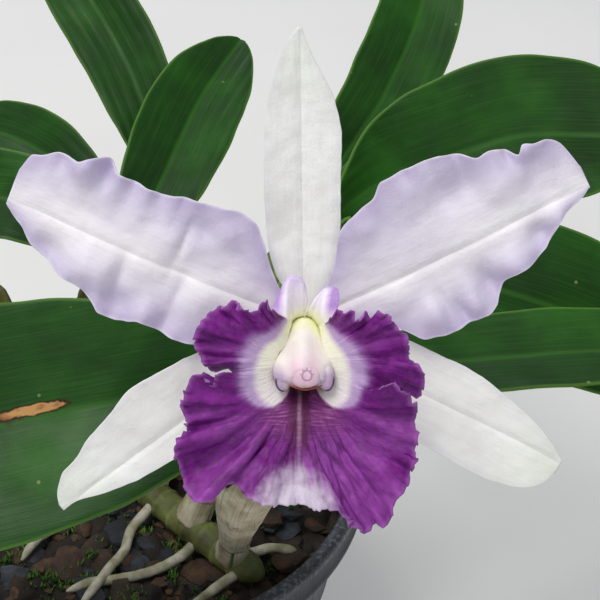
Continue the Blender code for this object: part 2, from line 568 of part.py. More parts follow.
def rhizome():
    """The rhizome lies on the mix, with roots that spread from it."""
    pieces = bpy.data.collections.new("roots")
    bpy.context.scene.collection.children.link(pieces)
    body = stem("rhizome", "rhizome_skin", through(RHIZOME),
                [(0, 3.5), (0.06, RHIZOME_RADIUS), (0.94, RHIZOME_RADIUS), (1, 3.5)], None, 12, 16)
    girth = [(0, ROOT_RADIUS), (0.85, ROOT_RADIUS * 0.9), (1, ROOT_RADIUS * 0.45)]
    for k, points in enumerate(resting_lines()):
        stem(f"root_{k}", "rhizome_skin", through(points), girth, None, 6, 7, home=pieces)
    join = body.modifiers.new("roots", "BOOLEAN")
    join.operation = "UNION"
    join.operand_type = "COLLECTION"
    join.solver = "MANIFOLD"
    join.collection = pieces
    baked(body)
    for obj in list(pieces.objects):
        bpy.data.objects.remove(obj, do_unlink=True)
    bpy.data.collections.remove(pieces)


def pot_wall_radius(z):
    """The pot's outer radius at a height below its shoulder."""
    return POT_BASE_RADIUS + (POT_SHOULDER_RADIUS - POT_BASE_RADIUS) * z / (POT_HEIGHT - POT_RIM_BAND)


def pot():
    """A turned pot with a rolled rim, its floor pierced by the drain holes."""
    shoulder = POT_HEIGHT - POT_RIM_BAND
    profile = [
        (0, POT_FLOOR), (pot_wall_radius(POT_FLOOR) - POT_WALL, POT_FLOOR),
        (pot_wall_radius(shoulder) - POT_WALL, shoulder), (POT_MOUTH_RADIUS - 0.6, shoulder + 2.5),
        (POT_MOUTH_RADIUS, POT_HEIGHT - 1.6), (POT_MOUTH_RADIUS + 1.2, POT_HEIGHT),
        (POT_RIM_RADIUS - 1.2, POT_HEIGHT), (POT_RIM_RADIUS, POT_HEIGHT - 1.4),
        (POT_RIM_RADIUS - 0.5, shoulder + 1), (POT_RIM_RADIUS - 1.5, shoulder),
        (POT_SHOULDER_RADIUS, shoulder), (POT_BASE_RADIUS + 0.4, 1.4),
        (POT_BASE_RADIUS - 1, 0), (0, 0),
    ]
    bm = bmesh.new()
    verts = [bm.verts.new((r, 0, z)) for r, z in profile]
    for a, b in zip(verts, verts[1:]):
        bm.edges.new((a, b))
    obj = keep("pot", bm, "pot_plastic")
    turn = obj.modifiers.new("turned", "SCREW")
    turn.steps = turn.render_steps = 48
    turn.use_merge_vertices = True
    turn.merge_threshold = 0.00005
    for k in range(DRAIN_COUNT):
        angle = 2 * math.pi * k / DRAIN_COUNT
        bm = bmesh.new()
        bmesh.ops.create_cone(bm, cap_ends=True, segments=12, radius1=DRAIN_RADIUS, radius2=DRAIN_RADIUS,
                              depth=DRAIN_DEPTH)
        middle = (DRAIN_CIRCLE * math.cos(angle), DRAIN_CIRCLE * math.sin(angle), 0)
        bmesh.ops.translate(bm, vec=middle, verts=bm.verts)
        hole = keep(f"drain_hole_{k}", bm, "pot_plastic", home=cutters)
        hole.hide_render = True
        hole.display_type = "WIRE"
        cut = obj.modifiers.new(f"drain hole {k}", "BOOLEAN")
        cut.object = hole


def chip_seeds():
    """The middles of the bark chips at the top of the mix, each with its rise and its tilt."""
    draw = random.Random(SEED + 1)
    reach = int(POT_MOUTH_RADIUS / MIX_CHIP) + 1
    seeds = []
    for i in range(-reach, reach + 1):
        for j in range(-reach, reach + 1):
            x = (i + draw.uniform(-0.4, 0.4)) * MIX_CHIP
            y = (j + draw.uniform(-0.4, 0.4)) * MIX_CHIP
            tilt = (draw.uniform(-1, 1) * MIX_CHIP_TILT, draw.uniform(-1, 1) * MIX_CHIP_TILT)
            seeds.append((x, y, draw.uniform(-1, 1) * MIX_CHIP_RISE, tilt))
    return seeds


def under(x, y, lines):
    """The highest that the mix may reach at a point, below everything that lies on it."""
    limit = 1000.0
    for points, radius in lines:
        for a, b in zip(points, points[1:]):
            run = Vector((b.x - a.x, b.y - a.y))
            t = (Vector((x, y)) - Vector((a.x, a.y))).dot(run) / max(run.length_squared, 1e-9)
            t = max(0, min(1, t))
            place = a.lerp(b, t)
            away = math.hypot(x - place.x, y - place.y)
            if away < radius + MIX_DIP:
                limit = min(limit, place.z - radius - MIX_DIP_GAP)
    return limit


def bark_mix():
    """The mix fills the pot. Its top is raised in chips by a formula, and dips where the plant lies on it."""
    spine = through(RHIZOME)
    lines = [([spine(k / 24) for k in range(25)], RHIZOME_RADIUS)]
    lines += [(points, ROOT_RADIUS) for points in resting_lines()]
    seeds = chip_seeds()
    floor = POT_FLOOR + 0.4
    top_radius = pot_wall_radius(MIX_TOP - MIX_EDGE_DROP) - POT_WALL - MIX_GAP
    bm = bmesh.new()
    bmesh.ops.create_grid(bm, x_segments=MIX_GRID, y_segments=MIX_GRID, size=1)
    rim = [e for e in bm.edges if e.is_boundary]
    skirt = bmesh.ops.extrude_edge_only(bm, edges=rim)["geom"]
    skirt_verts = {v for v in skirt if isinstance(v, bmesh.types.BMVert)}
    skirt_edges = [e for e in skirt if isinstance(e, bmesh.types.BMEdge)]
    for vert in bm.verts:
        u, v = vert.co.x, vert.co.y
        x, y = u * math.sqrt(1 - v * v / 2), v * math.sqrt(1 - u * u / 2)
        if vert in skirt_verts:
            radius = pot_wall_radius(floor) - POT_WALL - MIX_GAP
            vert.co = (x * radius, y * radius, floor)
            continue
        x, y = x * top_radius, y * top_radius
        near = sorted((math.hypot(x - s[0], y - s[1]), k) for k, s in enumerate(seeds))[:2]
        chip_x, chip_y, rise, tilt = seeds[near[0][1]]
        crack = MIX_CRACK * math.exp(-(near[1][0] - near[0][0]) / MIX_CRACK_WIDTH)
        z = MIX_TOP + rise + tilt[0] * (x - chip_x) + tilt[1] * (y - chip_y) - crack
        edge = max(0, (math.hypot(x, y) / top_radius - 0.94) / 0.06)
        z += (MIX_TOP - MIX_EDGE_DROP - z) * edge
        vert.co = (x, y, min(z, under(x, y, lines)))
    bmesh.ops.contextual_create(bm, geom=[e for e in bm.edges if e in set(skirt_edges) and e.is_boundary])
    bmesh.ops.recalc_face_normals(bm, faces=bm.faces[:])
    keep("bark_mix", bm, "bark_mix")


clear_scene()
pot()
bark_mix()
rhizome()
pseudobulbs()
leaves()
stalk()
bloom()
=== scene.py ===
"""The looks of a cattleya orchid in flower, in its nursery pot.

Lists and formulas are in millimetres, and meshes are kept in metres. The bloom is drawn in its own frame,
with +Y towards the top sepal and +Z out of its face, then turned and moved to the end of its stalk.
"""

import math
import random
from bisect import bisect_right

import bmesh
import bpy
from mathutils import Matrix, Vector, noise


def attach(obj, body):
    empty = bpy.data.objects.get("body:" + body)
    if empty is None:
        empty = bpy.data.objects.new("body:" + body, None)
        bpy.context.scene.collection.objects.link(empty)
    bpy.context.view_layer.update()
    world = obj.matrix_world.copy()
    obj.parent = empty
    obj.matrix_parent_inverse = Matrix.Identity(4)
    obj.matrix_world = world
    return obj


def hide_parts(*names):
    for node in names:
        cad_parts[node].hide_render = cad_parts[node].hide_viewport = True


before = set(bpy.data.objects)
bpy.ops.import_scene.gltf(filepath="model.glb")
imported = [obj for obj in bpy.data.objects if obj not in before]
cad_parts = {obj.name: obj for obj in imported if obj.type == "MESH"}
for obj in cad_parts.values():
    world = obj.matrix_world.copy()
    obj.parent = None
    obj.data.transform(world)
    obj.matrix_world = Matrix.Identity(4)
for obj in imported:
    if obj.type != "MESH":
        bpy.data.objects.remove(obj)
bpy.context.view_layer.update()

# Studio: not part of the plant. A pale matt board, a pale sky and three soft lamps, seen from 40 degrees
# above the level, as one looks down into a bloom that nods a little.
MM = 0.001
EYE = (56.3, -323.8, 465.3)
EYE_TILT = 50
LENS = 80.35
BLOOM_CENTRE = Vector((57, -99, 266.5))


def linear(hex_colour):
    """The linear RGB of an sRGB hex colour."""
    channels = [int(hex_colour[i : i + 2], 16) / 255 for i in (1, 3, 5)]
    return [c / 12.92 if c <= 0.04045 else ((c + 0.055) / 1.055) ** 2.4 for c in channels]


def add(tree, kind, sockets=(), stops=None, **settings):
    """Adds a shader node. A socket takes a number, a hex colour or the socket that feeds it."""
    node = tree.nodes.new("ShaderNode" + kind)
    for name, value in settings.items():
        setattr(node, name, value)
    for name, value in dict(sockets).items():
        if isinstance(value, bpy.types.NodeSocket):
            tree.links.new(value, node.inputs[name])
        else:
            node.inputs[name].default_value = (*linear(value), 1) if isinstance(value, str) else value
    if stops:
        row = node.color_ramp.elements
        row[0].position, row[-1].position = stops[0][0], stops[-1][0]
        row[0].color, row[-1].color = (*linear(stops[0][1]), 1), (*linear(stops[-1][1]), 1)
        for place, colour in stops[1:-1]:
            row.new(place).color = (*linear(colour), 1)
    return node


def finish(name, **sockets):
    """A new material: its node tree and its shader."""
    made = bpy.data.materials.new(name)
    made.use_nodes = True
    shader = made.node_tree.nodes["Principled BSDF"]
    for socket, value in sockets.items():
        shader.inputs[socket.replace("_", " ").title().replace("Ior", "IOR")].default_value = value
    return made, made.node_tree, shader


def keep(name, bm, *finishes):
    """A bmesh drawn in millimetres, as a smooth object with its finishes."""
    bmesh.ops.scale(bm, vec=(MM, MM, MM), verts=bm.verts)
    mesh = bpy.data.meshes.new(name)
    bm.to_mesh(mesh)
    bm.free()
    mesh.shade_smooth()
    for made in finishes:
        mesh.materials.append(made)
    obj = bpy.data.objects.new(name, mesh)
    bpy.context.scene.collection.objects.link(obj)
    return obj


def board_paint():
    """Matt paint on a board: an even pale grey with the faintest mottling."""
    made, tree, shader = finish("board_paint", roughness=0.9)
    spot = add(tree, "TexCoord").outputs["Object"]
    mottle = add(tree, "TexNoise", {"Vector": spot, "Scale": 6, "Detail": 3}).outputs["Fac"]
    tone = add(tree, "ValToRGB", {"Fac": mottle}, stops=[(0.3, "#E7E7E5"), (0.7, "#ECECEA")])
    tree.links.new(tone.outputs["Color"], shader.inputs["Base Color"])
    return made


def lamp(name, place, size, power, colour):
    """A square soft lamp that looks at the bloom."""
    light = bpy.data.lights.new(name, "AREA")
    light.size = size * MM
    light.energy = power
    light.color = linear(colour)
    obj = bpy.data.objects.new(name, light)
    obj.location = Vector(place) * MM
    obj.rotation_euler = (BLOOM_CENTRE - Vector(place)).to_track_quat("-Z", "Y").to_euler()
    bpy.context.scene.collection.objects.link(obj)


ground = bmesh.new()
bmesh.ops.create_grid(ground, x_segments=8, y_segments=8, size=4000)
bmesh.ops.translate(ground, vec=(0, 0, -0.1), verts=ground.verts)
board = keep("floor", ground, board_paint())

camera = bpy.data.objects.new("camera", bpy.data.cameras.new("camera"))
camera.data.lens = LENS
camera.location = Vector(EYE) * MM
camera.rotation_euler = (math.radians(EYE_TILT), 0, 0)
bpy.context.scene.collection.objects.link(camera)
bpy.context.scene.camera = camera

sky = bpy.data.worlds.new("pale_sky")
sky.use_nodes = True
sky.node_tree.nodes["Background"].inputs["Color"].default_value = (*linear("#EEF1F6"), 1)
sky.node_tree.nodes["Background"].inputs["Strength"].default_value = 0.5
bpy.context.scene.world = sky
bpy.context.scene.view_settings.view_transform = "Standard"
lamp("high_lamp", (-250, -250, 1250), 500, 8, "#FFFDF8")
lamp("front_lamp", (150, -1100, 800), 700, 1.6, "#FAFAFF")
lamp("back_lamp", (-200, 900, 900), 600, 3, "#FFFFFF")

# Pot: a round nursery pot of dark blue-grey polypropylene, moulded in one shot with a rolled rim, a stepped
# rim band, faint hoops from the mould and six drain holes through its floor.
POT_HEIGHT = 125
POT_BASE_RADIUS = 55
POT_SHOULDER_RADIUS = 74
POT_RIM_RADIUS = 80
POT_MOUTH_RADIUS = 75
POT_RIM_BAND = 14
POT_WALL = 2.2
POT_FLOOR = 2.5
POT_SIDES = 144
POT_HOOPS = (38, 72)
POT_HOOP_RISE = 0.45
DRAIN_COUNT = 6
DRAIN_RADIUS = 5
DRAIN_CIRCLE = 34


def in_place(piece, slot, *nodes):
    """Fixes a piece to the plant and hides the solids that it stands for; the slot, its finish's name, is not
    used.
    """
    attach(piece, "root")
    if nodes:
        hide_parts(*nodes)


def pot_wall_radius(z):
    """The pot's outer radius at a height below its shoulder."""
    return POT_BASE_RADIUS + (POT_SHOULDER_RADIUS - POT_BASE_RADIUS) * z / (POT_HEIGHT - POT_RIM_BAND)


def round_corner(centre, radius, start, end, steps=5):
    """Points of an arc in the plane of radius and height, its angles in degrees."""
    angles = [math.radians(start + (end - start) * k / steps) for k in range(steps + 1)]
    return [(centre[0] + radius * math.cos(a), centre[1] + radius * math.sin(a)) for a in angles]


def pot_profile():
    """The pot's wall, from the middle of its floor inside, over the rim and down to its underside."""
    shoulder = POT_HEIGHT - POT_RIM_BAND
    inner_foot = pot_wall_radius(POT_FLOOR) - POT_WALL
    points = [(0, POT_FLOOR), *round_corner((inner_foot - 3, POT_FLOOR + 3), 3, -90, 0)]
    points += [(pot_wall_radius(shoulder) - POT_WALL, shoulder - 1), (POT_MOUTH_RADIUS - 0.6, shoulder + 2.5)]
    points += round_corner((POT_MOUTH_RADIUS + 1.7, POT_HEIGHT - 1.7), 1.7, 180, 90)
    points += round_corner((POT_RIM_RADIUS - 1.7, POT_HEIGHT - 1.7), 1.7, 90, 0)
    points += [(POT_RIM_RADIUS - 0.2, POT_HEIGHT - 4.2), (POT_RIM_RADIUS - 0.7, POT_HEIGHT - 4.6)]
    points += [(POT_RIM_RADIUS - 0.8, shoulder + 3), (POT_RIM_RADIUS - 0.4, shoulder + 2.6)]
    points += round_corner((POT_RIM_RADIUS - 1.3, shoulder + 0.8), 0.8, 0, -90, 3)
    points += [(POT_SHOULDER_RADIUS + 1, shoulder), (POT_SHOULDER_RADIUS, shoulder - 0.8)]
    for hoop in reversed(POT_HOOPS):
        points += [(pot_wall_radius(hoop + dz) + rise, hoop + dz)
                   for dz, rise in ((1.4, 0), (0.6, POT_HOOP_RISE), (-0.6, POT_HOOP_RISE), (-1.4, 0))]
    points += round_corner((POT_BASE_RADIUS - 1.8, 2), 2, 0, -90)
    points += [(POT_BASE_RADIUS - 5, 0), (POT_BASE_RADIUS - 6, 0.9), (0, 0.9)]
    return points


def moulded_plastic():
    """Moulded polypropylene, satin from the mould, scuffed and dusted with dried hard water.

    The eye gets a cool dark sheen, paler where dust and scratches lie on the rim.
    """
    made, tree, shader = finish("moulded_polypropylene", ior=1.49)
    spot = add(tree, "TexCoord").outputs["Object"]
    cloud = add(tree, "TexNoise", {"Vector": spot, "Scale": 45, "Detail": 6}).outputs["Fac"]
    body = add(tree, "ValToRGB", {"Fac": cloud}, stops=[(0.3, "#23272F"), (0.55, "#2C323C"), (0.8, "#3A414D")])
    grit = add(tree, "TexNoise", {"Vector": spot, "Scale": 900, "Detail": 4}).outputs["Fac"]
    height = add(tree, "SeparateXYZ", {"Vector": spot}).outputs["Z"]
    rim = add(tree, "MapRange", {"Value": height, "From Min": 0.095, "From Max": 0.125}).outputs["Result"]
    dust = add(tree, "Math", {0: grit, 1: rim}, operation="MULTIPLY").outputs[0]
    dust = add(tree, "MapRange", {"Value": dust, "From Min": 0.5, "From Max": 0.72, "To Max": 0.6})
    skin = add(tree, "Mix", {0: dust.outputs["Result"], 6: body.outputs["Color"], 7: "#7B7F86"},
               data_type="RGBA")
    long = add(tree, "Mapping", {"Vector": spot, "Scale": (900, 900, 60)}).outputs["Vector"]
    scratch = add(tree, "TexNoise", {"Vector": long, "Scale": 1, "Detail": 2}).outputs["Fac"]
    rough = add(tree, "MapRange", {"Value": scratch, "From Min": 0.3, "From Max": 0.75, "To Min": 0.34,
                                   "To Max": 0.6})
    relief = add(tree, "Bump", {"Height": grit, "Strength": 0.12, "Distance": 0.0004})
    tree.links.new(skin.outputs[2], shader.inputs["Base Color"])
    tree.links.new(rough.outputs["Result"], shader.inputs["Roughness"])
    tree.links.new(relief.outputs["Normal"], shader.inputs["Normal"])
    return made


def turned_pot():
    """Spins the profile, then pierces the floor."""
    bm = bmesh.new()
    verts = [bm.verts.new((r, 0, z)) for r, z in pot_profile()]
    edges = [bm.edges.new(pair) for pair in zip(verts, verts[1:])]
    bmesh.ops.spin(bm, geom=verts + edges, axis=(0, 0, 1), angle=2 * math.pi, steps=POT_SIDES, use_merge=True)
    bmesh.ops.remove_doubles(bm, verts=bm.verts, dist=0.001)
    bmesh.ops.recalc_face_normals(bm, faces=bm.faces)
    pot = keep("nursery_pot", bm, moulded_plastic())
    bm = bmesh.new()
    for k in range(DRAIN_COUNT):
        angle = 2 * math.pi * k / DRAIN_COUNT
        middle = (DRAIN_CIRCLE * math.cos(angle), DRAIN_CIRCLE * math.sin(angle), 0)
        bmesh.ops.create_cone(bm, cap_ends=True, segments=32, radius1=DRAIN_RADIUS, radius2=DRAIN_RADIUS,
                              depth=12, matrix=Matrix.Translation(middle))
    holes = keep("drain_holes", bm)
    cut = pot.modifiers.new("drain holes", "BOOLEAN")
    cut.object = holes
    graph = bpy.context.evaluated_depsgraph_get()
    pierced = bpy.data.meshes.new_from_object(pot.evaluated_get(graph))
    pot.modifiers.clear()
    pot.data = pierced
    pot.data.set_sharp_from_angle(angle=math.radians(50))
    bpy.data.objects.remove(holes)
    return pot


in_place(turned_pot(), "pot_plastic", "pot")

# Bark mix: chips of pine bark and charcoal over a bed of finer bark, with moss grown between them. It is
# loose in the pot, and the plant is wedged into it by its roots.
MIX_TOP = 106
MIX_CHIP = 13
MIX_CHIP_RISE = 4.0
MIX_CHIP_TILT = 0.32
MIX_CRACK = 3.5
MIX_CRACK_WIDTH = 1.6
MIX_CELLS = 84
MIX_EDGE_DROP = 6
MIX_DIP = 4.6
MIX_DIP_GAP = 0.7
CHIP_COUNT = 300
CRUMB_COUNT = 420
MOSS_TUFTS = 80
MOSS_SHOOTS = 34
RHIZOME = [(44, -42, 108), (30, -30, 108), (12, -12, 107), (-8, 8, 107), (-30, 26, 107), (-52, 44, 106)]
RHIZOME_RADIUS = 5.5
ROOT_COUNT = 11
ROOT_RADIUS = 1.8
ROOT_REACH = 52
ROOT_STEPS = 6
ROOT_SPREAD = 50
ROOT_WANDER = 22
ROOT_HEIGHT = 107.2
ROOT_UNEVEN = 0.8
ROOT_CLEARANCE = 9
SEED = 11


def smooth(stations, t):
    """The value at t of a list of (t, value), on a smooth line that has no humps between them."""
    if t <= stations[0][0]:
        return stations[0][1]
    if t >= stations[-1][0]:
        return stations[-1][1]
    i = bisect_right(stations, (t, math.inf)) - 1

    def slope(k):
        if k in (0, len(stations) - 1):
            a, b = (0, 1) if k == 0 else (k - 1, k)
            return (stations[b][1] - stations[a][1]) / (stations[b][0] - stations[a][0])
        before = (stations[k][1] - stations[k - 1][1]) / (stations[k][0] - stations[k - 1][0])
        after = (stations[k + 1][1] - stations[k][1]) / (stations[k + 1][0] - stations[k][0])
        return 0 if before * after <= 0 else 2 * before * after / (before + after)

    (t0, v0), (t1, v1) = stations[i], stations[i + 1]
    h = t1 - t0
    u = (t - t0) / h
    bend = h * (u * (1 - u) ** 2 * slope(i) - u * u * (1 - u) * slope(i + 1))
    return v0 + (v1 - v0) * u * u * (3 - 2 * u) + bend


def through(points):
    """A function from 0..1 to a point on the smooth line through the points, even along its length."""
    places = [0.0]
    for a, b in zip(points, points[1:]):
        places.append(places[-1] + (Vector(b) - Vector(a)).length)
    axes = [[(s / places[-1], p[k]) for s, p in zip(places, points)] for k in range(3)]
    return lambda t: Vector([smooth(axis, t) for axis in axes])


def heading_of(route, t, step=0.01):
    """The way that a route runs at t."""
    return (route(min(1, t + step)) - route(max(0, t - step))).normalized()


def uneven(point, size, seed=0.0):
    """A soft random value of about -1 to 1 at a point in mm, with patches of a given size in mm."""
    return noise.noise(Vector(point) / size + Vector((seed, seed * 1.7, 0)))


def resting_lines():
    """The roots' routes over the bark mix, the same for the roots and for the mix."""
    draw = random.Random(SEED)
    spine = through(RHIZOME)
    lines = []
    for k in range(ROOT_COUNT):
        start = spine(0.06 + 0.88 * k / (ROOT_COUNT - 1))
        turn = math.radians(draw.uniform(-ROOT_SPREAD, ROOT_SPREAD) + (45 if k % 2 else 225))
        points = [start + Vector((0, 0, -1.5))]
        for _ in range(ROOT_STEPS):
            turn += math.radians(draw.uniform(-ROOT_WANDER, ROOT_WANDER))
            ahead = points[-1] + Vector((math.cos(turn), math.sin(turn), 0)) * ROOT_REACH / ROOT_STEPS
            if math.hypot(ahead.x, ahead.y) > POT_SHOULDER_RADIUS - ROOT_CLEARANCE:
                break
            ahead.z = ROOT_HEIGHT + draw.uniform(-ROOT_UNEVEN, ROOT_UNEVEN)
            points.append(ahead)
        if len(points) > 2:
            lines.append(points)
    return lines


def chip_seeds():
    """The middles of the bark chips at the top of the mix, each with its rise and its tilt."""
    draw = random.Random(SEED + 1)
    reach = int(POT_MOUTH_RADIUS / MIX_CHIP) + 1
    seeds = []
    for i in range(-reach, reach + 1):
        for j in range(-reach, reach + 1):
            x = (i + draw.uniform(-0.4, 0.4)) * MIX_CHIP
            y = (j + draw.uniform(-0.4, 0.4)) * MIX_CHIP
            tilt = (draw.uniform(-1, 1) * MIX_CHIP_TILT, draw.uniform(-1, 1) * MIX_CHIP_TILT)
            seeds.append((x, y, draw.uniform(-1, 1) * MIX_CHIP_RISE, tilt))
    return seeds


def lying_runs():
    """Each straight run of what lies on the mix, as its ends and its radius."""
    spine = through(RHIZOME)
    runs = [(spine(k / 24), spine((k + 1) / 24), RHIZOME_RADIUS) for k in range(24)]
    for points in resting_lines():
        runs += [(a, b, ROOT_RADIUS) for a, b in zip(points, points[1:])]
    return [(a.x, a.y, a.z, b.x - a.x, b.y - a.y, b.z - a.z, radius) for a, b, radius in runs]


RUNS = lying_runs()
SEEDS = chip_seeds()
MIX_RADIUS = pot_wall_radius(MIX_TOP - MIX_EDGE_DROP) - POT_WALL - 0.4


def under(x, y):
    """The highest that the mix may reach at a point, below everything that lies on it."""
    limit = 1000.0
    for ax, ay, az, dx, dy, dz, radius in RUNS:
        t = max(0, min(1, ((x - ax) * dx + (y - ay) * dy) / (dx * dx + dy * dy + 1e-9)))
        if math.hypot(x - ax - dx * t, y - ay - dy * t) < radius + MIX_DIP:
            limit = min(limit, az + dz * t - radius - MIX_DIP_GAP)
    return limit


def mix_height(x, y):
    """The top of the bed at a point."""
    near = sorted((math.hypot(x - s[0], y - s[1]), k) for k, s in enumerate(SEEDS))[:2]
    chip_x, chip_y, rise, tilt = SEEDS[near[0][1]]
    crack = MIX_CRACK * math.exp(-(near[1][0] - near[0][0]) / MIX_CRACK_WIDTH)
    z = MIX_TOP + rise + tilt[0] * (x - chip_x) + tilt[1] * (y - chip_y) - crack
    z += 0.7 * uneven((x, y, 0), 3) + 0.4 * uneven((x, y, 0), 1.2)
    edge = max(0, (math.hypot(x, y) / MIX_RADIUS - 0.94) / 0.06)
    z += (MIX_TOP - MIX_EDGE_DROP - z) * edge
    return min(z, under(x, y))


def mix_bed():
    """The bed fills the pot: its top is raised in chips, and its skirt follows the pot's wall down."""
    bm = bmesh.new()
    bmesh.ops.create_grid(bm, x_segments=MIX_CELLS, y_segments=MIX_CELLS, size=1)
    rim = [e for e in bm.edges if e.is_boundary]
    skirt = bmesh.ops.extrude_edge_only(bm, edges=rim)["geom"]
    low = {v for v in skirt if isinstance(v, bmesh.types.BMVert)}
    floor = POT_FLOOR + 0.4
    foot_radius = pot_wall_radius(floor) - POT_WALL - 0.6
    for vert in bm.verts:
        u, v = vert.co.x, vert.co.y
        x, y = u * math.sqrt(1 - v * v / 2), v * math.sqrt(1 - u * u / 2)
        if vert in low:
            vert.co = (x * foot_radius, y * foot_radius, floor)
        else:
            vert.co = (x * MIX_RADIUS, y * MIX_RADIUS, mix_height(x * MIX_RADIUS, y * MIX_RADIUS))
    bmesh.ops.contextual_create(bm, geom=[e for e in bm.edges if e.is_boundary])
    bmesh.ops.recalc_face_normals(bm, faces=bm.faces)
    return bm


def pine_bark(name, dark, middle, light, scale):
    """Composted pine bark: dull, fibrous, near black when damp, with rusty broken faces."""
    made, tree, shader = finish(name, roughness=0.88)
    spot = add(tree, "TexCoord").outputs["Object"]
    cloud = add(tree, "TexNoise", {"Vector": spot, "Scale": scale, "Detail": 8, "Roughness": 0.7})
    tone = add(tree, "ValToRGB", {"Fac": cloud.outputs["Fac"]},
               stops=[(0.32, dark), (0.52, middle), (0.72, light)])
    grain = add(tree, "TexNoise", {"Vector": spot, "Scale": 1400, "Detail": 6}).outputs["Fac"]
    relief = add(tree, "Bump", {"Height": grain, "Strength": 0.6, "Distance": 0.0006})
    tree.links.new(tone.outputs["Color"], shader.inputs["Base Color"])
    tree.links.new(relief.outputs["Normal"], shader.inputs["Normal"])
    return made


def scatter(name, count, size, seed, made, sink=0.3):
    """Broken chips that lie on the bed, each a cube with its corners cut and pushed about."""
    draw = random.Random(seed)
    bm = bmesh.new()
    for _ in range(count):
        away, turn = MIX_RADIUS * 0.95 * math.sqrt(draw.random()), draw.uniform(0, 2 * math.pi)
        x, y = away * math.cos(turn), away * math.sin(turn)
        length = draw.uniform(0.6, 1) * size
        body = (length, length * draw.uniform(0.5, 0.8), length * draw.uniform(0.22, 0.4))
        top = min(mix_height(x + a, y + b) for a, b in ((0, 0), (body[0] / 3, 0), (-body[0] / 3, 0)))
        if top > under(x, y) - 0.1 and size > 6:
            continue
        lean = Matrix.Rotation(draw.uniform(-0.35, 0.35), 4, "X") @ Matrix.Rotation(
            draw.uniform(-0.35, 0.35), 4, "Y") @ Matrix.Rotation(draw.uniform(0, math.pi), 4, "Z")
        place = Matrix.Translation((x, y, top + body[2] * (0.5 - sink))) @ lean
        chip = bmesh.ops.create_icosphere(bm, subdivisions=2 if size > 6 else 1, radius=0.5)["verts"]
        for vert in chip:
            point = vert.co.copy()
            most = max(abs(c) for c in point)
            point *= (0.5 / most) * 0.55 + 0.45
            point *= 1 + 0.22 * uneven(point * 4, 1, x + 3 * y)
            vert.co = place @ Vector([point[k] * body[k] * 1.15 for k in range(3)])
    obj = keep(name, bm, made)
    obj.data.set_sharp_from_angle(angle=math.radians(24))
    return obj


def moss():
    """Tufts of short pointed shoots that stand in the cracks."""
    draw = random.Random(SEED + 5)
    bm = bmesh.new()
    for _ in range(MOSS_TUFTS):
        away, turn = MIX_RADIUS * 0.9 * math.sqrt(draw.random()), draw.uniform(0, 2 * math.pi)
        x, y = away * math.cos(turn), away * math.sin(turn)
        for _ in range(MOSS_SHOOTS):
            px, py = x + draw.gauss(0, 2.6), y + draw.gauss(0, 2.6)
            if math.hypot(px, py) > MIX_RADIUS - 1:
                continue
            tall = draw.uniform(1.6, 3.6)
            lean = Matrix.Rotation(draw.uniform(-0.5, 0.5), 4, "X") @ Matrix.Rotation(
                draw.uniform(-0.5, 0.5), 4, "Y")
            spot = Matrix.Translation((px, py, mix_height(px, py) + tall * 0.4)) @ lean
            bmesh.ops.create_cone(bm, cap_ends=True, segments=4, radius1=draw.uniform(0.4, 0.7),
                                  radius2=0.08, depth=tall, matrix=spot)
    made, tree, shader = finish("moss_leaf", roughness=0.8)
    spot = add(tree, "TexCoord").outputs["Object"]
    cloud = add(tree, "TexNoise", {"Vector": spot, "Scale": 160, "Detail": 3}).outputs["Fac"]
    tone = add(tree, "ValToRGB", {"Fac": cloud}, stops=[(0.3, "#234010"), (0.55, "#3F6A1A"), (0.8, "#6C9A2E")])
    tree.links.new(tone.outputs["Color"], shader.inputs["Base Color"])
    return keep("moss_tufts", bm, made)


in_place(keep("bark_bed", mix_bed(), pine_bark("fine_bark", "#0E0B09", "#1E1712", "#33261B", 120)),
         "bark_mix", "bark_mix")
in_place(scatter("bark_chips", CHIP_COUNT, 13, SEED + 2,
                 pine_bark("pine_bark_chip", "#17110D", "#33261D", "#5A3F2A", 90)), "bark_mix")
in_place(scatter("charcoal_chips", CHIP_COUNT // 2, 12, SEED + 3,
                 pine_bark("charcoal", "#0F1014", "#22252C", "#454A55", 70)), "bark_mix")
in_place(scatter("bark_crumbs", CRUMB_COUNT, 4.5, SEED + 4,
                 pine_bark("bark_crumb", "#1E1610", "#4A3524", "#7A5A3A", 200)), "bark_mix")
in_place(moss(), "bark_mix")

# Rhizome and roots: the creeping stem, ringed by the scars of its scale leaves, and thick roots in spongy
# white velamen that spread over the mix and grip it. They are one growth.
RHIZOME_GIRTH = [(0, 1.2), (0.02, 3.5), (0.06, RHIZOME_RADIUS), (0.94, RHIZOME_RADIUS), (0.98, 3.5), (1, 1.2)]
ROOT_GIRTH = [(0, 1.8), (0.85, 1.65), (0.95, 1.2), (1, 0.4)]
RING_SPACING = 7.5


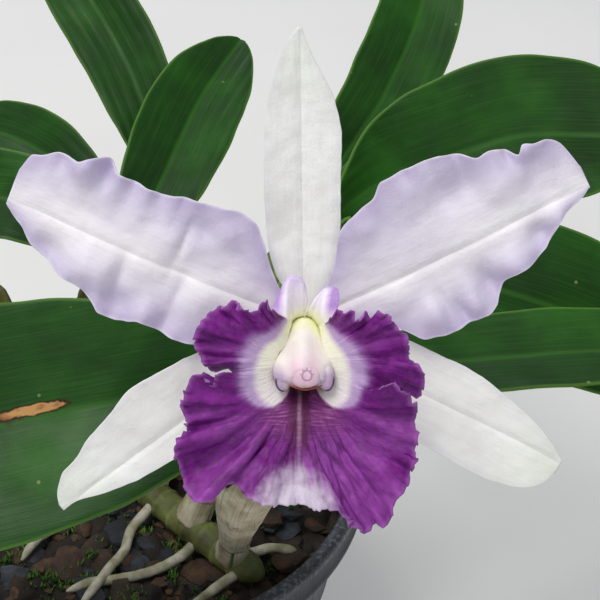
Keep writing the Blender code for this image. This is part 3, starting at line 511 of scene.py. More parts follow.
def stem(route, width, height=None, sides=24, rings=40, swell=None):
    """A bmesh of a round or oval stem along a route. swell(t, turn, length) is the relief on it, in mm.

    Its sides are counted from the world axis that the route runs along least, so that it has no twist.
    """
    chord = route(1) - route(0)
    level = Vector([k == min(range(3), key=lambda axis: abs(chord[axis])) for k in range(3)])
    length = sum((route((k + 1) / 40) - route(k / 40)).length for k in range(40))
    bm = bmesh.new()
    bmesh.ops.create_cone(bm, cap_ends=True, segments=sides, radius1=1, radius2=1, depth=1)
    lengthwise = [e for e in bm.edges if abs(e.verts[0].co.z - e.verts[1].co.z) > 0.5]
    bmesh.ops.subdivide_edges(bm, edges=lengthwise, cuts=rings - 1, use_grid_fill=True)
    lay = bm.verts.layers.float_vector.new("lay")
    frames = {}
    for vert in bm.verts:
        row = round((vert.co.z + 0.5) * rings)
        if row not in frames:
            t = row / rings
            ahead = heading_of(route, t)
            side = (level - ahead * level.dot(ahead)).normalized()
            wide = smooth(width, t)
            frames[row] = (t, route(t), side, ahead.cross(side).normalized(), wide,
                           smooth(height, t) if height else wide)
        t, middle, side, up, wide, high = frames[row]
        turn = math.atan2(vert.co.y, vert.co.x)
        extra = swell(t, turn, length) if swell else 0
        vert.co = middle + side * math.cos(turn) * (wide + extra) + up * math.sin(turn) * (high + extra)
        vert[lay] = (t * length, turn, extra)
    return bm


def rhizome_swell(t, turn, length):
    """Rings where scale leaves stood, and the wrinkles of an old stem between them."""
    place = (t * length) % RING_SPACING / RING_SPACING
    ring = 0.55 * math.exp(-((place - 0.5) / 0.08) ** 2)
    wrinkle = 0.22 * uneven((t * length * 0.35, math.cos(turn) * 6, math.sin(turn) * 6), 1.6)
    return (ring + wrinkle) * min(1, 12 * t, 12 * (1 - t))


def grown_skin(name, stops, hollow_shade_and_speck_tone, roughness, scale):
    """The skin of stem or bulb: waxy green that dries to straw and brown, with dark specks, and painted shade
    that darkens its grooves, joints and wrinkles where the relief sinks.
    """
    made, tree, shader = finish(name, roughness=roughness)
    spot = add(tree, "TexCoord").outputs["Object"]
    cloud = add(tree, "TexNoise", {"Vector": spot, "Scale": scale, "Detail": 7, "Roughness": 0.6})
    tone = add(tree, "ValToRGB", {"Fac": cloud.outputs["Fac"]}, stops=stops)
    lay = add(tree, "Attribute", attribute_name="lay").outputs["Vector"]
    extra = add(tree, "SeparateXYZ", {"Vector": lay}).outputs["Z"]
    # Painted shade: the deeper the relief sinks (grooves, joints, wrinkles), the more the skin is mixed towards
    # the dark tone.
    painted_hollow_shade = add(tree, "MapRange", {"Value": extra, "From Min": -0.3, "From Max": 0.35, "To Min": 0.55,
                                    "To Max": 0}).outputs["Result"]
    skin = add(tree, "Mix", {0: painted_hollow_shade, 6: tone.outputs["Color"], 7: hollow_shade_and_speck_tone}, data_type="RGBA")
    speck = add(tree, "TexVoronoi", {"Vector": spot, "Scale": 420}).outputs["Distance"]
    fleck = add(tree, "MapRange", {"Value": speck, "From Min": 0.06, "From Max": 0.16, "To Min": 0.5,
                                   "To Max": 0}).outputs["Result"]
    skin = add(tree, "Mix", {0: fleck, 6: skin.outputs[2], 7: hollow_shade_and_speck_tone}, data_type="RGBA")
    grain = add(tree, "TexNoise", {"Vector": spot, "Scale": 1500, "Detail": 4}).outputs["Fac"]
    relief = add(tree, "Bump", {"Height": grain, "Strength": 0.25, "Distance": 0.0004})
    tree.links.new(skin.outputs[2], shader.inputs["Base Color"])
    tree.links.new(relief.outputs["Normal"], shader.inputs["Normal"])
    return made


def velamen():
    """Velamen, the dead spongy coat of an orchid root: chalky silver grey, greener where it is damp."""
    made, tree, shader = finish("root_velamen", roughness=0.85)
    spot = add(tree, "TexCoord").outputs["Object"]
    cloud = add(tree, "TexNoise", {"Vector": spot, "Scale": 130, "Detail": 6}).outputs["Fac"]
    tone = add(tree, "ValToRGB", {"Fac": cloud},
               stops=[(0.25, "#5C5A38"), (0.45, "#8C8A72"), (0.6, "#B3B0A2"), (0.8, "#8A6B45")])
    grain = add(tree, "TexNoise", {"Vector": spot, "Scale": 1800, "Detail": 3}).outputs["Fac"]
    relief = add(tree, "Bump", {"Height": grain, "Strength": 0.35, "Distance": 0.0003})
    tree.links.new(tone.outputs["Color"], shader.inputs["Base Color"])
    tree.links.new(relief.outputs["Normal"], shader.inputs["Normal"])
    return made


def join(bm, part):
    """Moves what a second bmesh holds into the first."""
    mesh = bpy.data.meshes.new("part")
    part.to_mesh(mesh)
    part.free()
    bm.from_mesh(mesh)
    bpy.data.meshes.remove(mesh)


def roots():
    """Every root in one mesh, each a tube that wanders over the chips."""
    bm = bmesh.new()
    for index, points in enumerate(resting_lines()):
        def swell(t, turn, length, index=index):
            return 0.16 * uneven((t * length, math.cos(turn) * 2, math.sin(turn) * 2), 2.4, index)

        join(bm, stem(through(points), ROOT_GIRTH, None, 14, 60, swell))
    return keep("roots", bm, velamen())


RHIZOME_STOPS = [(0.3, "#3E3A1E"), (0.5, "#5F6B33"), (0.65, "#7C8047"), (0.85, "#8F7A4C")]
in_place(keep("creeping_stem", stem(through(RHIZOME), RHIZOME_GIRTH, None, 40, 170, rhizome_swell),
              grown_skin("rhizome_skin", RHIZOME_STOPS, "#2B2213", 0.6, 90)), "rhizome_skin", "rhizome")
in_place(roots(), "rhizome_skin", "rhizome")

# Pseudobulbs: the swollen, ribbed stems that store the plant's water. The youngest are plump and green, the
# oldest shrunken and yellow. Each wears what is left of the papery sheaths that wrapped it as it grew.
BULBS = [
    ("pseudobulb_flowering", (33, -33, 108), (40, -50, 160), (56, -75, 223), 8.5),
    ("pseudobulb_second", (18, -18, 107), (38, -12, 158), (66, 2, 216), 9.0),
    ("pseudobulb_third", (2, -2, 107), (26, 18, 148), (58, 38, 188), 8.5),
    ("pseudobulb_fourth", (-16, 14, 107), (-14, 20, 142), (-4, 32, 178), 8.0),
    ("pseudobulb_fifth", (-34, 29, 107), (-22, 46, 142), (-4, 66, 172), 7.5),
    ("pseudobulb_oldest", (-43, 36, 106), (-50, 40, 134), (-55, 45, 160), 7.0),
]
BULB_GIRTH = [(0, 0.62), (0.12, 0.5), (0.35, 0.8), (0.62, 1.0), (0.85, 0.92), (0.96, 0.8), (1, 0.72)]
BULB_RIBS = 7
BULB_RIB_DEPTH = 0.05
SHEATH_SPANS = ((0.03, 0.2), (0.13, 0.42), (0.34, 0.68))
SHEATH_WALL = 0.22


def bulb_swell(girth, age):
    """Ribs that deepen with age, joints across them and fine wrinkles."""
    def swell(t, turn, length):
        full = girth * smooth(BULB_GIRTH, t)
        rib = full * BULB_RIB_DEPTH * (1 + 0.5 * age) * math.cos(BULB_RIBS * turn)
        fine = 0.1 * (0.4 + age) * math.cos(23 * turn + 3 * uneven((t * length, 0, 0), 14, age))
        joint = sum(-0.5 * math.exp(-((t - place) * length / 1.1) ** 2) for place in (0.13, 0.34, 0.62))
        return (rib + fine + joint + 0.16 * uneven((t * length, turn * 5, 0), 4, age)) * min(1, 30 * (1 - t))
    return swell


def dry_sheath():
    """A dead papery sheath: silvery straw, with close parallel nerves and darker, frayed margins."""
    made, tree, shader = finish("papery_sheath", roughness=0.75, subsurface_weight=0.15,
                                subsurface_scale=0.002)
    spot = add(tree, "TexCoord").outputs["Object"]
    lay = add(tree, "Attribute", attribute_name="lay").outputs["Vector"]
    parts = add(tree, "SeparateXYZ", {"Vector": lay})
    cloud = add(tree, "TexNoise", {"Vector": spot, "Scale": 110, "Detail": 6, "Roughness": 0.65})
    tone = add(tree, "ValToRGB", {"Fac": cloud.outputs["Fac"]},
               stops=[(0.28, "#8A7A5E"), (0.48, "#B4A98E"), (0.62, "#CBC3AE"), (0.8, "#97866A")])
    fine = add(tree, "Mapping", {"Vector": lay, "Scale": (3, 2.4, 0)}).outputs["Vector"]
    nerve = add(tree, "TexNoise", {"Vector": fine, "Scale": 1, "Detail": 4}).outputs["Fac"]
    shade = add(tree, "MapRange", {"Value": nerve, "From Min": 0.5, "From Max": 0.7, "To Max": 0.55})
    skin = add(tree, "Mix", {0: shade.outputs["Result"], 6: tone.outputs["Color"], 7: "#6E5B40"},
               data_type="RGBA")
    frayed = add(tree, "MapRange", {"Value": parts.outputs["Z"], "From Min": 0.8, "From Max": 1, "To Max": 0.6})
    skin = add(tree, "Mix", {0: frayed.outputs["Result"], 6: skin.outputs[2], 7: "#5E4A32"},
               data_type="RGBA")
    relief = add(tree, "Bump", {"Height": nerve, "Strength": 0.3, "Distance": 0.0003})
    tree.links.new(skin.outputs[2], shader.inputs["Base Color"])
    tree.links.new(relief.outputs["Normal"], shader.inputs["Normal"])
    return made


def bulb_sheaths(name, route, girth, age, made):
    """Sheets wrapped round a bulb, open at one side and torn along the top."""
    bm = bmesh.new()
    lay = bm.verts.layers.float_vector.new("lay")
    for index, (low, high) in enumerate(SHEATH_SPANS[: 3 - (age > 0.5)]):
        grid = bmesh.ops.create_grid(bm, x_segments=44, y_segments=18, size=1)["verts"]
        opening = 0.3 + 0.35 * index + age
        for vert in grid:
            turn = opening * 5 + vert.co.x * math.pi * (0.97 - 0.06 * index)
            up = (vert.co.y + 1) / 2
            torn = 0.25 * up * uneven((turn * 4, index, age * 9), 1.1) + 0.1 * up * uneven((turn * 16, 0, age), 1)
            t = low + (high - low) * up * (0.82 + torn)
            ahead = heading_of(route, t)
            side = (Vector((1, 0, 0)) - ahead * ahead.x).normalized()
            rise = ahead.cross(side).normalized()
            away = girth * smooth(BULB_GIRTH, t) * (1 + BULB_RIB_DEPTH * (1 + 0.5 * age)) + 0.45
            away += 0.3 * index + up**3 * (0.2 + 0.7 * abs(uneven((turn * 3, index, age), 1)))
            away += 0.18 * math.cos(BULB_RIBS * turn) + 0.2 * uneven((turn * 5, up * 3, age), 1)
            vert.co = route(t) + (side * math.cos(turn) + rise * math.sin(turn)) * away
            vert[lay] = (t, turn * girth, up)
    obj = keep(name, bm, made)
    wall = obj.modifiers.new("paper", "SOLIDIFY")
    wall.thickness = SHEATH_WALL * MM
    wall.offset = 0
    return obj


YOUNG_STOPS = [(0.3, "#4B6426"), (0.5, "#66802F"), (0.7, "#86994A"), (0.9, "#9AA45F")]
OLD_STOPS = [(0.3, "#5D5A26"), (0.5, "#84813C"), (0.7, "#A79A56"), (0.9, "#8C7142")]
young_skin = grown_skin("young_bulb_skin", YOUNG_STOPS, "#3B4A1C", 0.45, 70)
old_skin = grown_skin("old_bulb_skin", OLD_STOPS, "#463A1C", 0.6, 70)
paper = dry_sheath()
for bulb_index, (bulb_name, bulb_foot, bulb_middle, bulb_top, bulb_girth) in enumerate(BULBS):
    bulb_age = bulb_index / (len(BULBS) - 1)
    bulb_route = through([bulb_foot, bulb_middle, bulb_top])
    bulb_width = [(t, bulb_girth * w) for t, w in BULB_GIRTH]
    bulb = keep(bulb_name + "_skin", stem(bulb_route, bulb_width, None, 70, 84, bulb_swell(bulb_girth, bulb_age)),
                old_skin if bulb_age > 0.5 else young_skin)
    bulb.data.set_sharp_from_angle(angle=math.radians(60))
    in_place(bulb, "pseudobulb_skin", bulb_name)
    in_place(bulb_sheaths(bulb_name + "_sheaths", bulb_route, bulb_girth, bulb_age, paper), "dry_sheath")

# Leaves: one or two stiff, leathery blades at the top of each pseudobulb, folded along the midrib, waxy dark
# green above and paler below. Each grows out of its bulb on a short folded neck.
LEAVES = [
    ("leaf_front_left", 0, (-1, 0), [(42, -79, 233), (4, -85, 230), (-34, -93, 226), (-84, -103, 208)],
     30, (0, -0.5, 0.85), (-0.1, -0.78, 0.62), 0.22),
    ("leaf_front_right", 0, (1, 0), [(74, -69, 227), (104, -63, 225.5), (140, -60, 226), (176, -58, 218)],
     15, (0, -0.05, 1), (0, 0, 1), 0.2),
    ("leaf_second_high", 1, (-0.4, 0.9), [(80, 14, 228), (101, 22, 232), (130, 28, 237), (170, 24, 238)],
     25, (-0.2, -0.65, 0.7), (0.1, -0.55, 0.83), 0.25),
    ("leaf_second_low", 1, (0.7, -0.7), [(83, -12, 222), (114, -22, 216), (150, -26, 203), (176, -28, 186)],
     23, (0, -0.5, 0.86), (0.1, -0.62, 0.78), 0.25),
    ("leaf_third_back", 2, (-0.5, 1), [(68, 62, 199), (88, 96, 213), (102, 132, 231), (106, 166, 254)],
     16, (0, -0.8, 0.6), (0, -0.9, 0.43), 0.3),
    ("leaf_third_right", 2, (0.5, -1), [(72, 42, 197), (84, 49, 204), (97, 61, 208), (109, 76, 207)],
     14, (-0.3, -0.6, 0.75), (0.2, -0.3, 0.93), 0.3),
    ("leaf_fourth_right", 3, (1, 0), [(2, 42, 189), (10, 64, 200), (20, 92, 210), (34, 122, 218)],
     17, (0.1, -0.8, 0.6), (0.1, -0.72, 0.7), 0.3),
    ("leaf_fourth_left", 3, (-1, 0), [(-16, 38, 190), (-40, 46, 199), (-70, 52, 196), (-102, 56, 180)],
     17, (0.1, -0.6, 0.8), (-0.3, -0.4, 0.85), 0.3),
    ("leaf_fifth_back", 4, (0.4, 1), [(4, 86, 188), (-5, 108, 209), (-26, 134, 236), (-50, 156, 260)],
     15, (0.1, -0.8, 0.6), (-0.1, -0.75, 0.66), 0.3),
    ("leaf_fifth_left", 4, (-0.6, -1), [(-17, 68, 185), (-37, 84, 193), (-57, 102, 190), (-77, 116, 176)],
     14, (0.1, -0.6, 0.8), (-0.3, -0.3, 0.9), 0.3),
]
LEAF_OUTLINE = [(0, 0.17), (0.05, 0.22), (0.18, 0.58), (0.36, 0.9), (0.56, 1), (0.76, 0.9), (0.9, 0.6),
                (0.97, 0.34), (1, 0.12)]
LEAF_THICKNESS = 1.8
LEAF_GAP = 0.3
LEAF_NECK = 6
LEAF_SET_OFF_FLOWERING = 5.2
LEAF_SET_OFF = 2.7
LEAF_TURN = 0.3
LEAF_CROWD = 1.35
MIDRIB_WIDTH = 1.3
SCAR_LEAF = "leaf_front_left"
SCAR_CENTRE = (-10, 2.2)
SCAR_REACH = (17, 3.0)


def blade(name, route, left, right, face, relief, size, finishes, thickness, crowd=1.0, mark=None):
    """A leaf or tepal: a sheet along a midrib, its half width given each side, its face towards face(t).

    relief(t, across, half) gives what is added to the half width, the lift off the plane and the share of
    the wall's thickness. mark(point, out) gives a third number that the finish reads.
    """
    rows, columns = size
    bm = bmesh.new()
    bmesh.ops.create_grid(bm, x_segments=rows, y_segments=columns, size=1)
    lay = bm.verts.layers.float_vector.new("lay")
    share = bm.verts.layers.float_vector.new("share")
    wall = bm.verts.layers.deform.verify()
    length = sum((route((k + 1) / 40) - route(k / 40)).length for k in range(40))
    frames = {}
    for vert in bm.verts:
        row = round((vert.co.x + 1) / 2 * rows)
        if row not in frames:
            t = (row / rows) ** crowd
            ahead = heading_of(route, t)
            side = face(t).cross(ahead).normalized()
            frames[row] = (t, route(t), side, ahead.cross(side).normalized(), smooth(left, t), smooth(right, t))
        t, middle, side, up, left_half, right_half = frames[row]
        across = math.copysign(1 - (1 - abs(vert.co.y)) ** 1.25, vert.co.y)
        half = left_half if across > 0 else right_half
        wider, lift, body = relief(t, across, half)
        out = across * (half + wider)
        vert.co = middle + side * out + up * lift
        vert[lay] = (t * length, out, half * (1 - abs(across)))
        vert[share] = (t, across, mark(vert.co, out) if mark else 0)
        vert[wall][0] = body
    obj = keep(name, bm, *finishes)
    obj.vertex_groups.new(name="body")
    skin = obj.modifiers.new("thickness", "SOLIDIFY")
    skin.thickness = thickness * MM
    skin.offset = 0
    skin.vertex_group = "body"
    skin.material_offset = len(finishes) - 1
    return obj


def leaf_relief(name, channel, length):
    """Folded along the midrib, gently uneven, with a groove over the midrib and rounded margins."""
    seed = sum(map(ord, name)) % 97

    def relief(t, across, half):
        out = abs(across) * half
        fold = channel * (math.sqrt(out * out + 2.2) - math.sqrt(2.2))
        groove = -0.5 * math.exp(-((out / MIDRIB_WIDTH) ** 2)) * min(1, 20 * t)
        wave = 1.6 * abs(across) ** 1.6 * uneven((t * length, 20 if across > 0 else -20, 0), 34, seed)
        nerve = 0.1 * math.cos(out * math.pi / 1.9)
        bump = 0.28 * uneven((t * length, across * half, 0), 7, seed)
        wider = 0.35 * uneven((t * length, 9 if across > 0 else -9, 0), 9, seed) * min(1, 10 * (1 - t))
        body = 0.32 + 0.68 * math.sqrt(max(0, 1 - abs(across) ** 8))
        body += 0.35 * math.exp(-((out / MIDRIB_WIDTH / 1.4) ** 2))
        return wider, fold + groove + (wave + nerve + bump) * min(1, 8 * t), min(1, body * 0.8)

    return relief


def leaf_cuticle(name, dark, middle, light, roughness, nerve_tone, nerve_share):
    """A leathery leaf under its wax: deep green, fine lengthwise nerves, a pale midrib and a thin pale margin.

    The wax gives a broad soft sheen, with a few dull water marks and pinprick spots.
    """
    made, tree, shader = finish(name, specular_ior_level=0.2)
    spot = add(tree, "TexCoord").outputs["Object"]
    lay = add(tree, "Attribute", attribute_name="lay").outputs["Vector"]
    parts = add(tree, "SeparateXYZ", {"Vector": lay})
    share = add(tree, "Attribute", attribute_name="share").outputs["Vector"]
    mark = add(tree, "SeparateXYZ", {"Vector": share}).outputs["Z"]
    cloud = add(tree, "TexNoise", {"Vector": spot, "Scale": 38, "Detail": 5, "Roughness": 0.55})
    tone = add(tree, "ValToRGB", {"Fac": cloud.outputs["Fac"]},
               stops=[(0.3, dark), (0.52, middle), (0.75, light)])
    long = add(tree, "Mapping", {"Vector": lay, "Scale": (0.03, 1.1, 0)}).outputs["Vector"]
    streak = add(tree, "TexNoise", {"Vector": long, "Scale": 1.5, "Detail": 5}).outputs["Fac"]
    nerves = add(tree, "MapRange", {"Value": streak, "From Min": 0.45, "From Max": 0.7, "To Max": nerve_share})
    skin = add(tree, "Mix", {0: nerves.outputs["Result"], 6: tone.outputs["Color"], 7: nerve_tone},
               data_type="RGBA")
    away = add(tree, "Math", {0: parts.outputs["Y"]}, operation="ABSOLUTE").outputs[0]
    rib = add(tree, "MapRange", {"Value": away, "From Min": 0.2, "From Max": 1.6, "To Min": 0.4, "To Max": 0},
              interpolation_type="SMOOTHSTEP")
    skin = add(tree, "Mix", {0: rib.outputs["Result"], 6: skin.outputs[2], 7: nerve_tone}, data_type="RGBA")
    edge = add(tree, "MapRange", {"Value": parts.outputs["Z"], "From Min": 0.1, "From Max": 1.0, "To Min": 0.5,
                                  "To Max": 0}, interpolation_type="SMOOTHSTEP")
    skin = add(tree, "Mix", {0: edge.outputs["Result"], 6: skin.outputs[2], 7: "#5F8A34"}, data_type="RGBA")
    pocks = add(tree, "TexVoronoi", {"Vector": spot, "Scale": 95}).outputs["Distance"]
    pock = add(tree, "MapRange", {"Value": pocks, "From Min": 0.02, "From Max": 0.06, "To Min": 0.7,
                                  "To Max": 0}).outputs["Result"]
    skin = add(tree, "Mix", {0: pock, 6: skin.outputs[2], 7: "#8E9A5E"}, data_type="RGBA")
    ragged = add(tree, "TexNoise", {"Vector": spot, "Scale": 220, "Detail": 5}).outputs["Fac"]
    ragged = add(tree, "Math", {0: ragged, 1: 0.5}, operation="SUBTRACT").outputs[0]
    burn = add(tree, "Math", {0: mark, 1: ragged}, operation="ADD").outputs[0]
    halo = add(tree, "MapRange", {"Value": burn, "From Min": 0.3, "From Max": 0.48}).outputs["Result"]
    dead = add(tree, "MapRange", {"Value": burn, "From Min": 0.48, "From Max": 0.56}).outputs["Result"]
    crust = add(tree, "ValToRGB", {"Fac": ragged}, stops=[(0, "#B98A55"), (0.12, "#8A5A33"), (0.25, "#5B3720")])
    skin = add(tree, "Mix", {0: halo, 6: skin.outputs[2], 7: "#2A1A0E"}, data_type="RGBA")
    skin = add(tree, "Mix", {0: dead, 6: skin.outputs[2], 7: crust.outputs["Color"]}, data_type="RGBA")
    wax = add(tree, "TexNoise", {"Vector": spot, "Scale": 70, "Detail": 6}).outputs["Fac"]
    rough = add(tree, "MapRange", {"Value": wax, "From Min": 0.35, "From Max": 0.7, "To Min": roughness,
                                   "To Max": roughness + 0.2}).outputs["Result"]
    grain = add(tree, "TexNoise", {"Vector": spot, "Scale": 1300, "Detail": 4}).outputs["Fac"]
    relief = add(tree, "Bump", {"Height": streak, "Strength": 0.2, "Distance": 0.0006})
    relief = add(tree, "Bump", {"Height": grain, "Strength": 0.12, "Distance": 0.0003,
                                "Normal": relief.outputs["Normal"]})
    tree.links.new(skin.outputs[2], shader.inputs["Base Color"])
    tree.links.new(rough, shader.inputs["Roughness"])
    tree.links.new(relief.outputs["Normal"], shader.inputs["Normal"])
    return made


def scar(point, out):
    """How near a point is to the dead patch along the midrib, from 0 far off to 1."""
    x = (point.x - SCAR_CENTRE[0]) / SCAR_REACH[0]
    y = (out + SCAR_CENTRE[1]) / SCAR_REACH[1]
    return max(0, 1 - math.hypot(x, y))


leaf_top = leaf_cuticle("leaf_cuticle", "#0D2E05", "#154208", "#245A12", 0.4, "#35691E", 0.2)
leaf_under = leaf_cuticle("leaf_underside", "#2C5220", "#3A642A", "#4C763A", 0.55, "#6C8E50", 0.3)
for leaf_name, bulb_index, (aside, back), leaf_points, half_width, face_low, face_high, channel in LEAVES:
    top = Vector(BULBS[bulb_index][3])
    ahead = (top - Vector(BULBS[bulb_index][2])).normalized()
    offset = Vector((aside, back, 0)).normalized() * (LEAF_SET_OFF if bulb_index else LEAF_SET_OFF_FLOWERING)
    offset -= ahead * offset.dot(ahead)
    leaf_root = top + offset + ahead * (LEAF_GAP + LEAF_THICKNESS * 0.5)
    leaf_route = through([leaf_root, leaf_root + ahead * LEAF_NECK + offset * 0.35, *leaf_points])
    leaf_width = [(t, half_width * w) for t, w in LEAF_OUTLINE]

    def leaf_face(t):
        """The blade starts upright against its bulb, then turns to its own measures."""
        near = min(1, t / LEAF_TURN)
        near = near * near * (3 - 2 * near)
        spread = Vector(face_low).normalized().lerp(Vector(face_high).normalized(), t)
        return (-offset.normalized()).lerp(spread, near)

    leaf_length = sum((Vector(b) - Vector(a)).length for a, b in zip(leaf_points, leaf_points[1:]))
    leaf = blade(leaf_name + "_blade", leaf_route, leaf_width, leaf_width, leaf_face,
                 leaf_relief(leaf_name, channel, leaf_length), (96, 32), [leaf_top, leaf_under],
                 LEAF_THICKNESS, LEAF_CROWD, scar if leaf_name == SCAR_LEAF else None)
    in_place(leaf, "leaf_skin", leaf_name)

# Flower stalk and spathe: the stalk rises from the youngest bulb out of a dry papery spathe, and its upper
# end is the ridged ovary that carries the bloom. It is one growth with the bloom's back.
BLOOM_TILT = 68
STALK = [(56.2, -75.5, 224.9), (55.8, -73.6, 235), (55.9, -69.6, 245), (56.4, -68.4, 252), (56.8, -73, 257.6),
         (57, -81, 260.2), (57, -92, 263.8)]
STALK_GIRTH = [(0, 2.3), (0.35, 2.1), (0.55, 1.9), (0.62, 2.3), (0.8, 2.6), (0.93, 3.0), (1, 3.5)]
SPATHE = [(56.4, -70.2, 227.4), (55.7, -67.2, 240), (56, -62.6, 256)]
SPATHE_OUTLINE = [(0, 2.1), (0.3, 3.5), (0.55, 4.6), (0.8, 3.7), (1, 1.3)]
SPATHE_CHANNEL = 0.75
OVARY_START = 0.55
OVARY_RIBS = 6


def stalk_swell(t, turn, length):
    """The ovary's twisted ridges, and a bract's scar where it begins."""
    ovary = max(0, min(1, (t - OVARY_START) / 0.1))
    ridge = 0.2 * ovary * math.cos(OVARY_RIBS * turn + 3 * t)
    scar_ring = 0.3 * math.exp(-((t - OVARY_START) * length / 0.7) ** 2)
    return ridge + scar_ring + 0.08 * uneven((t * length, turn * 3, 0), 2)


def spathe_relief(t, across, half):
    """A folded, shrivelled sheath with a torn margin."""
    out = abs(across) * half
    wrinkle = 0.3 * uneven((t * 30, across * 6, 0), 2.5)
    return 0.5 * uneven((t * 40, across, 3), 1.5) * abs(across), SPATHE_CHANNEL * out + wrinkle, 0.6


STALK_STOPS = [(0.3, "#6B8A45"), (0.5, "#8AA463"), (0.7, "#A9BC84"), (0.9, "#B9B596")]
stalk = keep("stalk_and_ovary", stem(through(STALK), STALK_GIRTH, None, 48, 120, stalk_swell),
             grown_skin("stalk_skin", STALK_STOPS, "#6A7A3E", 0.45, 120))
in_place(stalk, "stalk_skin", "flower_stalk")
spathe = blade("dry_spathe", through(SPATHE), SPATHE_OUTLINE, SPATHE_OUTLINE, lambda t: Vector((0, -1, 0.1)),
               spathe_relief, (60, 30), [paper], 0.7)
in_place(spathe, "dry_sheath", "spathe")

# Sepals: three firm, narrow white blades behind the petals, faintly nerved along their length, with a green
# breath at the tips. They grow from the ovary's end round the column's foot.
TO_PLANT = Matrix.Translation(BLOOM_CENTRE) @ Matrix.Rotation(math.radians(BLOOM_TILT), 4, "X")
SEPAL_WALL = 0.9
DORSAL_SEPAL = {
    "heading": 90.7, "base": (0, 0), "length": 68,
    "rise": [(0.06, -2.0), (0.35, -2.6), (0.7, -1.4), (1, 0.5)],
    "left": [(0.06, 2.2), (0.12, 2.8), (0.19, 5.6), (0.26, 7.0), (0.33, 7.6), (0.45, 8.0), (0.65, 7.8),
             (0.78, 6.8), (0.84, 5.7), (0.9, 4.2), (0.96, 2.5), (1, 0.4)],
    "right": [(0.06, 2.2), (0.12, 4.3), (0.19, 6.1), (0.26, 7.7), (0.36, 8.5), (0.52, 8.6), (0.65, 8.8),
              (0.77, 7.4), (0.84, 5.3), (0.9, 3.1), (0.96, 1.4), (1, 0.4)],
    "channel": 0.12, "waves": [],
}
LATERAL_SEPAL_LEFT = {
    "heading": -143.4, "base": (-1.1, -1.5), "length": 68.4,
    "rise": [(0.06, -2.0), (0.3, -1.4), (0.7, -0.2), (1, 1.5)],
    "left": [(0.06, 2.0), (0.15, 4.4), (0.3, 6.6), (0.45, 7.0), (0.6, 6.1), (0.73, 5.2), (0.8, 4.0),
             (0.87, 2.6), (0.93, 1.0), (0.97, 0.5), (1, 0.6)],
    "right": [(0.06, 2.0), (0.15, 6.2), (0.3, 11.2), (0.43, 12.7), (0.55, 13.6), (0.66, 11.5), (0.765, 10.0),
              (0.86, 7.6), (0.91, 7.0), (0.95, 5.3), (0.98, 3.5), (1, 1.2)],
    "channel": 0.1, "waves": [],
}
LATERAL_SEPAL_RIGHT = {
    "heading": -26.5, "base": (1.1, -1.5), "length": 65.1,
    "rise": [(0.06, -2.0), (0.3, -1.4), (0.7, -0.2), (1, 1.5)],
    "left": [(0.06, 2.0), (0.16, 6.5), (0.31, 10.1), (0.43, 10.2), (0.51, 10.4), (0.6, 9.9), (0.69, 8.7),
             (0.78, 7.1), (0.85, 5.8), (0.94, 3.0), (1, 0.4)],
    "right": [(0.06, 2.0), (0.16, 5.6), (0.31, 9.2), (0.45, 10.4), (0.6, 11.0), (0.78, 11.5), (0.86, 10.7),
              (0.92, 9.6), (0.95, 8.3), (0.98, 6.2), (1, 3.0)],
    "channel": 0.1, "waves": [],
}


def flower_tissue(name, colour_of, roughness=0.5, glow=0.18, sparkle=0.3, nerve_depth=0.15):
    """Petal tissue: thick, water-filled cells under a thin cuticle, so light sinks in and glows out softly.

    Each domed cell glints. The cells are drawn about 0.3 mm across, coarser than life, so that they show.
    colour_of(tree, lay, share, spot) gives the colour's socket and the nerves' relief.
    """
    made, tree, shader = finish(name, roughness=roughness, subsurface_weight=glow, subsurface_scale=0.0012,
                                specular_ior_level=0.3)
    shader.inputs["Subsurface Radius"].default_value = (1.0, 0.75, 0.9)
    spot = add(tree, "TexCoord").outputs["Object"]
    lay = add(tree, "SeparateXYZ", {"Vector": add(tree, "Attribute", attribute_name="lay").outputs["Vector"]})
    share = add(tree, "SeparateXYZ", {"Vector": add(tree, "Attribute", attribute_name="share").outputs["Vector"]})
    skin, nerves = colour_of(tree, lay.outputs, share.outputs, spot)
    cells = add(tree, "TexVoronoi", {"Vector": spot, "Scale": 3300}).outputs["Distance"]
    cloud = add(tree, "TexNoise", {"Vector": spot, "Scale": 600, "Detail": 4}).outputs["Fac"]
    relief = add(tree, "Bump", {"Height": nerves, "Strength": nerve_depth, "Distance": 0.0005})
    relief = add(tree, "Bump", {"Height": cloud, "Strength": 0.3, "Distance": 0.0005,
                                "Normal": relief.outputs["Normal"]})
    relief = add(tree, "Bump", {"Height": cells, "Strength": sparkle, "Distance": 0.00012,
                                "Normal": relief.outputs["Normal"]})
    tree.links.new(skin, shader.inputs["Base Color"])
    tree.links.new(relief.outputs["Normal"], shader.inputs["Normal"])
    return made


def nerve_lines(tree, lay, share, count, wander):
    """Nerves that fan out along a tepal: a socket that peaks on each of a number of lines across it."""
    mix = add(tree, "CombineXYZ", {"X": lay["X"], "Y": lay["Y"]}).outputs["Vector"]
    drift = add(tree, "TexNoise", {"Vector": mix, "Scale": 0.12, "Detail": 4}).outputs["Fac"]
    drift = add(tree, "Math", {0: drift, 1: wander}, operation="MULTIPLY").outputs[0]
    lines = add(tree, "Math", {0: share["Y"], 1: count, 2: drift}, operation="MULTIPLY_ADD").outputs[0]
    lines = add(tree, "Math", {0: lines, 1: 1}, operation="PINGPONG").outputs[0]
    return add(tree, "MapRange", {"Value": lines, "From Min": 0, "From Max": 0.35, "To Min": 1, "To Max": 0},
               interpolation_type="SMOOTHSTEP").outputs["Result"]


def midrib_line(tree, lay, skin, tone, strength):
    """The thin dull line of the midrib, drawn over a tepal's colour."""
    away = add(tree, "Math", {0: lay["Y"]}, operation="ABSOLUTE").outputs[0]
    line = add(tree, "MapRange", {"Value": away, "From Min": 0.1, "From Max": 0.45, "To Min": strength,
                                  "To Max": 0}, interpolation_type="SMOOTHSTEP").outputs["Result"]
    return add(tree, "Mix", {0: line, 6: skin, 7: tone}, data_type="RGBA").outputs[2]


